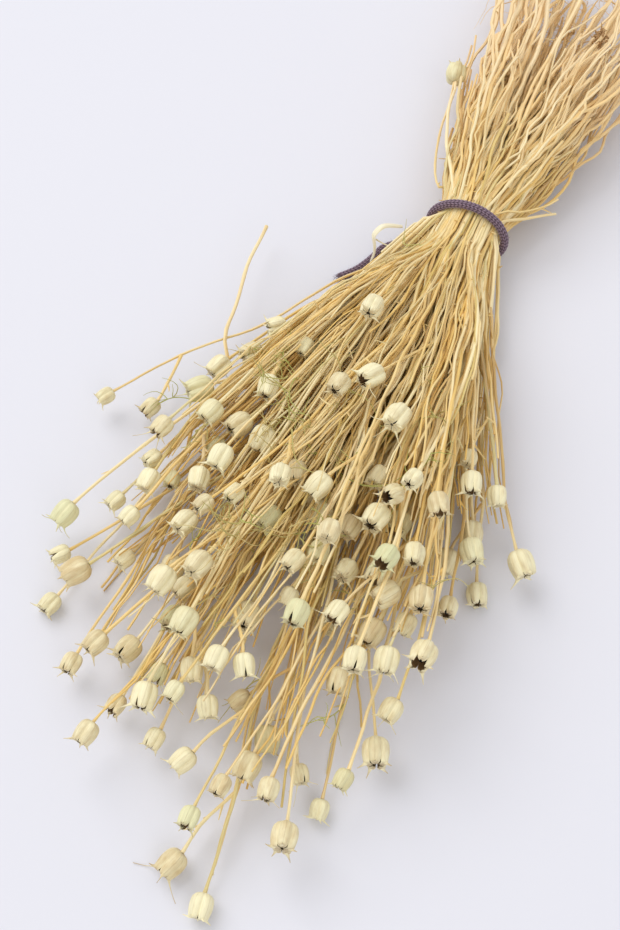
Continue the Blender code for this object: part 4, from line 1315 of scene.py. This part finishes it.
PALE_LEAF_ENDS, PALE_LEAF_ROUND = (0.09, 0.95), 0.6  # its stretch of a sine's hump, and the hump's roundness
PALE_LEAF_FOLD = ((-1, 0.55), (-0.55, 0.12), (0, 0), (0.55, 0.12), (1, 0.55))  # across, and off its midrib
PALE_LEAF_SPACING, PALE_LEAF_TONE = 1.5 * MM, (0.1, 0.1, 0.3)
PALE_THREAD = ((-38, -22, 20), (-35, -22, 19), (-30, -22, 18), (-26, -22, 17), (-22, -19, 17))
PALE_THREAD_TAPER, PALE_THREAD_WAVES = (0.4 * MM, 0.2 * MM), 0.8
LEAF_HEART = (
    (-51, -147, 36), (-23, -134, 40), (-25, -196, 38), (2, -186, 42), (-40, -120, 36), (10, -150, 40),
)
LEAF_SCATTER, LEAF_TOWARDS, LEAF_WAY = 9.0 * MM, 0.25, (0, -0.7, 0.15)  # the way they tend to point
LEAF_LENGTH, LEAF_RADIUS, LEAF_GREEN = (14.0 * MM, 34.0 * MM), 0.34 * MM, (0.55, 0.3)
LEAF_ANYWHERE = 4  # of so many leaves, one grows at any pod and the others at the hearts
PARTS, PART_LENGTH, PART_RADIUS, PART_SCATTER, PART_PIECES = (2, 6), (0.25, 0.6), 0.24 * MM, 0.55, 6
LEAF_TIP, HAIR_TIP = 0.35, 0.3  # share of its thickness that a thread keeps at its tip
FINE_SPACING = 2.0 * MM  # between the points of leaves and root hairs
LEAF_CURL, PART_CURL, CURL_KEPT = 0.16, 0.2, 0.7
ROOT_FINISHES = ("straw", "pod inside")
ROOT_HAIRS, CLUMP = range(2)
ROOT_GOLDEN, ROOT_STAINED = 0.9, (0.4, 1.0)
ROOT_TIP, ROOT_TIP_TAPER, ROOT_TIP_CURL = (8.0 * MM, 20.0 * MM), (1.25 * MM, 0.25 * MM), 0.16
HAIRS_AT_ROOT, HAIR_LENGTH, HAIR_RADIUS = (5, 11), (8.0 * MM, 30.0 * MM), (0.16 * MM, 0.38 * MM)
HAIR_FROM, HAIR_AHEAD, HAIR_SCATTER, HAIR_CURL = (-0.05, 0.5), (-0.1, 0.9), 0.7, 0.3
ROOT_TIP_WITHIN = 2.0 * MM  # a root tip starts this far inside its stem
ROOT_TIP_CLEAR, HAIR_CLEAR, CLUMP_CLEAR = 0.5 * MM, 0.25 * MM, 0.3 * MM  # kept from the surface
CLUMP_PLACE, CLUMP_HAIRS, CLUMP_SPREAD = (14.4, 130.0, 50.0), 34, 1.6 * MM  # a brown tangle of fine roots
CLUMP_LENGTH, CLUMP_TAPER, CLUMP_CURL, CLUMP_TONE = 5.0 * MM, (0.6 * MM, 0.2 * MM), 0.8, (0.9, 0, 1)
CLUMP_SEARCH = 3.0 * MM  # between the points of the stems that the tangle may hang on


def loose_line(bunch, stalk, random):
    """A line beside a stalk: in the room between stalks in the band, further off where there is more room."""
    places = bunch.points[stalk["points"]]
    line, passed = smooth_line(places, LINE_SPACING)
    line = line[passed <= len(places) - 2]
    away = np.clip((np.abs(line[:, 1]) - STRAIGHT) / LOOSE_FULL_AT, 0, 1)[:, None]
    turn = random.integers(6) * math.pi / 3
    gate = HEX_OFFSET * np.array((math.cos(turn), 0, math.sin(turn)))
    held = line[np.argmin(np.abs(line[:, 1]))] - (0, 0, BAND_MIDDLE)
    if random.random() < AT_BAND_EDGE:
        edge = math.hypot(held[0] / BAND_HALF_WIDTH, held[2] / BAND_HALF_HEIGHT)
        gate = held * (1, 0, 1) * (BAND_EDGE / edge - 1)
    reach = blend(LOOSE_SPREAD, random.random())
    pod_side, root_side = (unit(random.normal(0, 1, 3) * LOOSE_SCATTER) * reach for _ in range(2))
    if abs(line[-1, 0]) > EDGE_FROM:
        pod_side[0] = -math.copysign(pod_side[0], line[-1, 0])
    pod_side[2] = min(pod_side[2], LOOSE_RISE * pod_side[2])
    off = np.where(line[:, 1:2] > 0, root_side, pod_side)
    return line + gate * (1 - away) + off * away


def draw_loose_stems(bunch, random):
    """One group of the thin broken stems and twigs that follow the stalks."""
    look = bpy.context.scene.nigella
    form = Form()
    through_band = [
        stalk for stalk in bunch.stalks
        if len(stalk["points"]) > THROUGH_BAND and bunch.points[stalk["points"][-1]][0] > FAR_LEFT
    ]
    ends = np.array([bunch.points[stalk["points"][-1]] for stalk in through_band])
    odds = np.where(ends[:, 0] < CROWDED_LEFT, CROWDING, 1)
    odds = odds / odds.sum()
    for _ in range(round(look.loose_stems / LOOSE_GROUPS)):
        line = loose_line(bunch, through_band[random.choice(len(through_band), p=odds)], random)
        band_at = int(np.argmin(np.abs(line[:, 1])))
        pod_side = len(line) - band_at
        reach = blend(LOOSE_TO, random.random() ** LOOSE_TO_POWER)
        last = band_at + max(FEWEST_POINTS, int(pod_side * reach))
        first = 0 if random.random() < FROM_ROOTS else int(band_at * random.uniform(*LOOSE_FROM))
        line = line[first:last]
        radius = blend(LOOSE_RADIUS, random.random())
        line = inside_box(hold_in(waved(line, LOOSE_WAVES, random), radius), LOOSE_CLEAR * radius)
        golden, green, stained = straw_tone(random, LOOSE_GOLDEN)
        # Painted shade: a loose stem that lies low gets a deeper golden and more brown in its tone
        if line[:, 2].mean() < SHADE_BELOW:
            golden, stained = min(golden + SHADE_GOLDEN, 1), min(stained + SHADE_BROWN, 1)
        tone = golden, green, stained
        add_tube(form, line, radius * np.linspace(*LOOSE_TAPER, len(line)), tone, sides=LOOSE_SIDES)
        add_spurs(form, line, tone, random)
    return form


def draw_strays(random):
    """Single stems that stand out beside the bunch, and the second pale stalk of the turned-back pod."""
    form = Form()
    pale, _ = smooth_line(np.array(SECOND_PALE, float) * MM, LINE_SPACING)
    pale = waved(pale, SECOND_WAVES, random)
    add_tube(form, pale, np.linspace(*SECOND_TAPER, len(pale)), SECOND_TONE)
    for route in (LEFT_EDGE + RIGHT_EDGE) * EDGE_COPIES + ROOT_STRAYS:
        places = np.array(route, float) * MM
        if route not in ROOT_STRAYS:
            places += random.normal(0, EDGE_SHIFT, 3)
            places[:, 0] *= random.uniform(EDGE_INWARDS, 1)
            places = places[: random.integers(len(places) - 2, len(places) + 1)]
        line, _ = smooth_line(places, LINE_SPACING)
        line = inside_box(hold_in(waved(line, STRAY_WAVES, random), STRAY_RADIUS), STRAY_RADIUS)
        tone = straw_tone(random, STRAY_GOLDEN)
        thick = np.linspace(*STRAY_TAPER, len(line)) * random.uniform(*STRAY_THICKNESS)
        add_tube(form, line, thick, tone)
        add_spurs(form, line, tone, random)
    return form


def draw_pale_leaf(random):
    """A pale dry leaf curled into a hook beside the band: a folded strip with a thread at its end."""
    form = Form()
    line, _ = smooth_line(np.array(PALE_LEAF, float) * MM, PALE_LEAF_SPACING)
    side, up = frames_along(line)
    share = np.linspace(0, 1, len(line))
    width = PALE_LEAF_WIDE * np.sin(math.pi * blend(PALE_LEAF_ENDS, share)) ** PALE_LEAF_ROUND
    twist = PALE_LEAF_TWIST * share
    way = side * np.cos(twist)[:, None] + up * np.sin(twist)[:, None]
    out = np.cross(np.gradient(line, axis=0), way)
    out /= np.linalg.norm(out, axis=1)[:, None]
    rings = []
    for across, off in PALE_LEAF_FOLD:
        rings.append(line + way * (width * across)[:, None] + out * (width * off)[:, None])
    rings += [ring + out * PALE_LEAF_THICK for ring in rings[::-1]]
    places = np.stack(rings, axis=1)
    columns = [across for across, _ in PALE_LEAF_FOLD]
    grain = np.zeros_like(places)
    grain[..., 0] = np.array(columns + columns[::-1])
    grain[..., 1] = 1.0
    grain[..., 2] = share[:, None] * 6
    form.add(places, grain, PALE_LEAF_TONE, capped_wall(len(rings), len(line)), ONLY)
    thread, _ = smooth_line(np.array(PALE_THREAD, float) * MM, PALE_LEAF_SPACING)
    thick = np.linspace(*PALE_THREAD_TAPER, len(thread))
    add_tube(form, waved(thread, PALE_THREAD_WAVES, random), thick, PALE_LEAF_TONE, ONLY, THREAD_SIDES)
    return form


def wander(start, way, length, curl, random, pieces=9):
    """A line that starts one way and curls at random."""
    points = [np.array(start, float)]
    turn = random.normal(0, curl, 3)
    for _ in range(pieces):
        turn = CURL_KEPT * turn + random.normal(0, curl, 3)
        way = unit(way + turn)
        points.append(points[-1] + way * length / pieces)
    return np.array(points)


def draw_thread_leaves(bunch, random):
    """Fine divided leaves between the pods, on the stalks that carry them."""
    look = bpy.context.scene.nigella
    form = Form()
    podded = [stalk["points"] for stalk in bunch.stalks if stalk["pod"]]
    stems = [numbers for numbers in podded if len(numbers) > THROUGH_BAND]
    near_pods = np.vstack([bunch.points[numbers[-5:-2]] for numbers in stems])
    heart = np.array(LEAF_HEART, float) * MM
    for number in range(look.thread_leaves):
        if number % LEAF_ANYWHERE:
            goal = heart[random.integers(len(heart))] + random.normal(0, LEAF_SCATTER, 3)
        else:
            goal = near_pods[random.integers(len(near_pods))]
        nearest = near_pods[np.argmin(np.linalg.norm(near_pods - goal, axis=1))]
        start = nearest + (goal - nearest) * LEAF_TOWARDS
        way = unit(random.normal(0, 1, 3) * (1, 1, 0.5) + LEAF_WAY)
        length = random.uniform(*LEAF_LENGTH)
        green = float(np.clip(random.normal(*LEAF_GREEN), 0, 1))
        tone = (0, green, random.random())
        stem = wander(start, way, length, LEAF_CURL, random)
        parts = [(stem, LEAF_RADIUS)]
        for _ in range(random.integers(*PARTS)):
            at = random.integers(2, len(stem) - 1)
            part_way = unit(stem[at] - stem[at - 1] + random.normal(0, PART_SCATTER, 3))
            part_length = length * random.uniform(*PART_LENGTH)
            part = wander(stem[at], part_way, part_length, PART_CURL, random, PART_PIECES)
            parts.append((part, PART_RADIUS))
        for line, radius in parts:
            line = cut_at_box(smooth_line(line, FINE_SPACING)[0], radius)
            thick = np.linspace(radius, LEAF_TIP * radius, len(line))
            add_tube(form, line, thick, tone, ONLY, THREAD_SIDES)
    return form


def draw_roots(bunch, random):
    """Fine root hairs at the root ends, browner than the stalks."""
    form = Form()
    mains = [stalk for stalk in bunch.stalks if stalk["parent"] is None]
    for stalk in mains:
        places = bunch.points[stalk["points"]]
        end, ahead = places[0], unit(places[0] - places[1])
        tone = (ROOT_GOLDEN, 0.0, random.uniform(*ROOT_STAINED))
        start = end - ahead * ROOT_TIP_WITHIN
        tip = wander(start, ahead, random.uniform(*ROOT_TIP), ROOT_TIP_CURL, random)
        tip = cut_at_box(smooth_line(tip, FINE_SPACING)[0], ROOT_TIP_CLEAR)
        add_tube(form, tip, np.linspace(*ROOT_TIP_TAPER, len(tip)), tone, ROOT_HAIRS, LOOSE_SIDES)
        for _ in range(random.integers(*HAIRS_AT_ROOT)):
            at = places[0] + (places[1] - places[0]) * random.uniform(*HAIR_FROM)
            way = unit(ahead * random.uniform(*HAIR_AHEAD) + random.normal(0, HAIR_SCATTER, 3))
            hair = wander(at, way, random.uniform(*HAIR_LENGTH), HAIR_CURL, random)
            hair = cut_at_box(smooth_line(hair, FINE_SPACING)[0], HAIR_CLEAR)
            radius = random.uniform(*HAIR_RADIUS)
            thick = np.linspace(radius, HAIR_TIP * radius, len(hair))
            add_tube(form, hair, thick, tone, ROOT_HAIRS, THREAD_SIDES)
    roots = [bunch.points[stalk["points"][:4]] for stalk in mains]
    near = np.vstack([smooth_line(places, CLUMP_SEARCH)[0] for places in roots])
    clump = near[np.argmin(np.linalg.norm(near - np.array(CLUMP_PLACE) * MM, axis=1))]
    for _ in range(CLUMP_HAIRS):
        start, way = clump + random.normal(0, CLUMP_SPREAD, 3), unit(random.normal(0, 1, 3))
        hair = wander(start, way, CLUMP_LENGTH, CLUMP_CURL, random)
        hair = cut_at_box(smooth_line(hair, FINE_SPACING)[0], CLUMP_CLEAR)
        add_tube(form, hair, np.linspace(*CLUMP_TAPER, len(hair)), CLUMP_TONE, CLUMP, THREAD_SIDES)
    return form


# The add-on

LOOSE_END_SEED, BAND_SEED, LOOSE_SEED, STRAY_SEED = 7, 5, 31, 37
LEAF_SEED, PALE_LEAF_SEED, ROOT_SEED = 41, 43, 47
CAMERA_PLACE, CAMERA_AIM = (0.1117, -0.4360, 0.5629), (-0.0205, -0.1391, 0.0)
CAMERA_NEAREST, CAMERA_FARTHEST = 0.01, 20.0
FLOOR_HALF = 6.0
SKY_COLOUR = (1.0, 0.99, 0.97, 1.0)
# Name, place, size and share of the key light's power
LIGHTS = (
    ("key", (-3.3, 1.2, 4.3), 4.4, 1.0),
    ("fill", (2.2, -2.6, 3.0), 3.0, 0.2),
)


def colour_property(name, description, default):
    return FloatVectorProperty(
        name=name, description=description, subtype="COLOR", size=3, min=0, max=1, default=default)


class NigellaLook(bpy.types.PropertyGroup):
    """Sizes and colours of the bunch that a user would change."""

    pale_straw: colour_property("Pale straw", "The palest stalks", (0.99, 0.87, 0.55))
    golden_straw: colour_property("Golden straw", "Most stalks", (0.90, 0.61, 0.19))
    # Brown straw also gives the painted shade of loose stems that lie low in the bunch
    brown_straw: colour_property("Brown straw", "Stains and gaps between the fibres", (0.42, 0.19, 0.035))
    root_straw: colour_property("Root straw", "The stalks towards their roots", (1.0, 0.77, 0.51))
    green_straw: colour_property("Green straw", "Stalks that dried green", (0.52, 0.50, 0.20))
    ivory_husk: colour_property("Ivory husk", "Most pods", (0.96, 0.89, 0.60))
    tan_husk: colour_property("Tan husk", "Riper pods", (0.66, 0.49, 0.25))
    green_husk: colour_property("Green husk", "Pods that dried green", (0.64, 0.68, 0.36))
    brown_husk: colour_property("Brown husk", "Blush at the beaks and the base", (0.36, 0.22, 0.10))
    # The band's yarn: painted shade between the stitches, and painted highlight on their tops
    cord_painted_shade: colour_property("Dark yarn", "The band between its stitches", (0.055, 0.030, 0.046))
    cord_painted_highlight: colour_property("Light yarn", "The tops of the band's stitches", (0.36, 0.26, 0.34))
    floor_colour: colour_property("Floor", "The surface that the bunch lies on", (0.765, 0.77, 0.845))
    stitch_columns: IntProperty(
        name="Stitch columns", description="Columns of stitches round the cord", default=6, min=3, max=12)
    stitch_pitch: FloatProperty(
        name="Stitch length", description="Length of one stitch", default=1.9 * MM,
        subtype="DISTANCE", unit="LENGTH")
    stitch_depth: FloatProperty(
        name="Stitch relief", description="Depth of the stitches as a share of the cord's radius",
        default=0.2, min=0, max=0.5, subtype="FACTOR")
    loose_stems: IntProperty(
        name="Loose stems", description="Thin broken stems among the stalks", default=680, min=0, max=1000)
    thread_leaves: IntProperty(
        name="Thread leaves", description="Fine divided leaves among the pods", default=80, min=0, max=200)
    key_power: FloatProperty(
        name="Key light", description="Power of the large soft light", default=157.0, min=0,
        subtype="POWER", unit="POWER")
    sky_strength: FloatProperty(
        name="Surrounding light", description="Strength of the white surroundings", default=0.70, min=0)
    lens: FloatProperty(
        name="Lens", description="Focal length of the camera", default=55.4, min=10, unit="CAMERA")


def carry(piece, slot, *nodes):
    """Every piece rides on the one body and may stand for solids, whose parts it hides; its slot is not used.
    """
    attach(piece, BODY)
    if nodes:
        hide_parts(*nodes)


class NIGELLA_OT_camera(bpy.types.Operator):
    """Place the camera above the pods, looking down along the bunch"""

    bl_idname = "nigella.camera"
    bl_label = "Camera"

    def execute(self, context):
        data = bpy.data.cameras.new("camera")
        data.lens = context.scene.nigella.lens
        data.clip_start, data.clip_end = CAMERA_NEAREST, CAMERA_FARTHEST
        camera = bpy.data.objects.new("camera", data)
        context.scene.collection.objects.link(camera)
        camera.location = CAMERA_PLACE
        aim = Vector(CAMERA_AIM) - Vector(CAMERA_PLACE)
        camera.rotation_euler = aim.to_track_quat("-Z", "Y").to_euler()
        context.scene.camera = camera
        return {"FINISHED"}


class NIGELLA_OT_loose_end(bpy.types.Operator):
    """Knit the loose end of the band, with its frayed tip"""

    bl_idname = "nigella.loose_end"
    bl_label = "Loose end"

    def execute(self, context):
        form, line = draw_loose_end(np.random.default_rng(LOOSE_END_SEED))
        piece = form.build("loose_end", [finish_of("knitted cord")])
        carry(piece, CORD_SLOT, "tie_end")
        length = float(lengths_along(line)[-1])
        tuple(line[0])
        [tuple(place) for place in smooth_line(line, 1 * MM)[0]]
        return {"FINISHED"}


class NIGELLA_OT_band(bpy.types.Operator):
    """Knit the band that ties the bunch, with its knot"""

    bl_idname = "nigella.band"
    bl_label = "Band"

    def execute(self, context):
        form = draw_band(np.random.default_rng(BAND_SEED))
        carry(form.build("knitted_band", [finish_of("knitted cord")]), CORD_SLOT, "tie_band")
        return {"FINISHED"}


class NIGELLA_OT_sprays(bpy.types.Operator):
    """Draw every plant: its forked stalks and their split, papery pods"""

    bl_idname = "nigella.sprays"
    bl_label = "Stalks and pods"

    def execute(self, context):
        bunch = bent_bunch()
        finishes = [finish_of(name) for name in FINISHES]
        for plant in range(PLANTS):
            form = draw_spray(bunch, plant, np.random.default_rng((SEED, plant)))
            piece = form.build(f"stalks_and_pods_{plant + 1:02d}", finishes)
            carry(piece, STALK_SLOT, f"spray_{plant + 1:02d}")
        return {"FINISHED"}


class NIGELLA_OT_loose_stems(bpy.types.Operator):
    """Draw the thin stems between the stalks and those that stand out beside them"""

    bl_idname = "nigella.loose_stems"
    bl_label = "Loose stems"

    def execute(self, context):
        for group in range(LOOSE_GROUPS):
            form = draw_loose_stems(bent_bunch(), np.random.default_rng((LOOSE_SEED, group)))
            carry(form.build(f"loose_stems_{group + 1}", [finish_of("straw")]), STALK_SLOT)
        form = draw_strays(np.random.default_rng(STRAY_SEED))
        carry(form.build("stray_stems", [finish_of("straw")]), STALK_SLOT)
        return {"FINISHED"}


class NIGELLA_OT_leaves(bpy.types.Operator):
    """Draw the thread leaves among the pods and the pale curled leaf beside the band"""

    bl_idname = "nigella.leaves"
    bl_label = "Leaves"

    def execute(self, context):
        form = draw_thread_leaves(bent_bunch(), np.random.default_rng(LEAF_SEED))
        carry(form.build("thread_leaves", [finish_of("thread leaf")]), STALK_SLOT)
        form = draw_pale_leaf(np.random.default_rng(PALE_LEAF_SEED))
        carry(form.build("pale_leaf", [finish_of("pale leaf")]), STALK_SLOT)
        return {"FINISHED"}


class NIGELLA_OT_roots(bpy.types.Operator):
    """Draw the fine roots at the root ends"""

    bl_idname = "nigella.roots"
    bl_label = "Roots"

    def execute(self, context):
        form = draw_roots(bent_bunch(), np.random.default_rng(ROOT_SEED))
        carry(form.build("fine_roots", [finish_of(name) for name in ROOT_FINISHES]), STALK_SLOT)
        return {"FINISHED"}


class NIGELLA_OT_stage(bpy.types.Operator):
    """Lay the pale floor and set up the soft studio light"""

    bl_idname = "nigella.stage"
    bl_label = "Floor and light"

    def execute(self, context):
        look = context.scene.nigella
        mesh = bpy.data.meshes.new("floor")
        half = FLOOR_HALF
        corners = [(-half, -half, 0), (half, -half, 0), (half, half, 0), (-half, half, 0)]
        mesh.from_pydata(corners, [], [(0, 1, 2, 3)])
        mesh.materials.append(finish_of("floor"))
        floor = bpy.data.objects.new("floor", mesh)
        context.scene.collection.objects.link(floor)
        world = bpy.data.worlds.new("white surroundings")
        world.use_nodes = True
        background = world.node_tree.nodes["Background"]
        background.inputs["Color"].default_value = SKY_COLOUR
        background.inputs["Strength"].default_value = look.sky_strength
        context.scene.world = world
        context.scene.view_settings.view_transform = "Standard"
        for name, place, size, share in LIGHTS:
            data = bpy.data.lights.new(name, "AREA")
            data.shape, data.size, data.energy = "SQUARE", size, look.key_power * share
            light = bpy.data.objects.new(name, data)
            context.scene.collection.objects.link(light)
            light.location = place
            aim = Vector(CAMERA_AIM) - Vector(place)
            light.rotation_euler = aim.to_track_quat("-Z", "Y").to_euler()
        return {"FINISHED"}


class NIGELLA_PT_bunch(bpy.types.Panel):
    """Lists the bunch's sizes and colours, and the pieces to build"""

    bl_idname = "NIGELLA_PT_bunch"
    bl_label = "Nigella bunch"
    bl_space_type = "VIEW_3D"
    bl_region_type = "UI"
    bl_category = "Nigella"

    def draw(self, context):
        look = context.scene.nigella
        for name in NigellaLook.__annotations__:
            self.layout.prop(look, name)
        for operator in OPERATORS:
            self.layout.operator(operator.bl_idname)


# The camera and the cord come first, then the rest in the order of their making
OPERATORS = (
    NIGELLA_OT_camera,
    NIGELLA_OT_loose_end,
    NIGELLA_OT_band,
    NIGELLA_OT_sprays,
    NIGELLA_OT_loose_stems,
    NIGELLA_OT_leaves,
    NIGELLA_OT_roots,
    NIGELLA_OT_stage,
)


def register():
    for made in (NigellaLook, *OPERATORS, NIGELLA_PT_bunch):
        bpy.utils.register_class(made)
    bpy.types.Scene.nigella = PointerProperty(type=NigellaLook)


def unregister():
    del bpy.types.Scene.nigella
    for made in (NIGELLA_PT_bunch, *reversed(OPERATORS), NigellaLook):
        bpy.utils.unregister_class(made)


def main():
    register()
    bpy.ops.nigella.camera()
    bpy.ops.nigella.loose_end()
    bpy.ops.nigella.band()
    bpy.ops.nigella.sprays()
    bpy.ops.nigella.loose_stems()
    bpy.ops.nigella.leaves()
    bpy.ops.nigella.roots()
    bpy.ops.nigella.stage()
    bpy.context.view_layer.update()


if __name__ == "__main__":
    main()
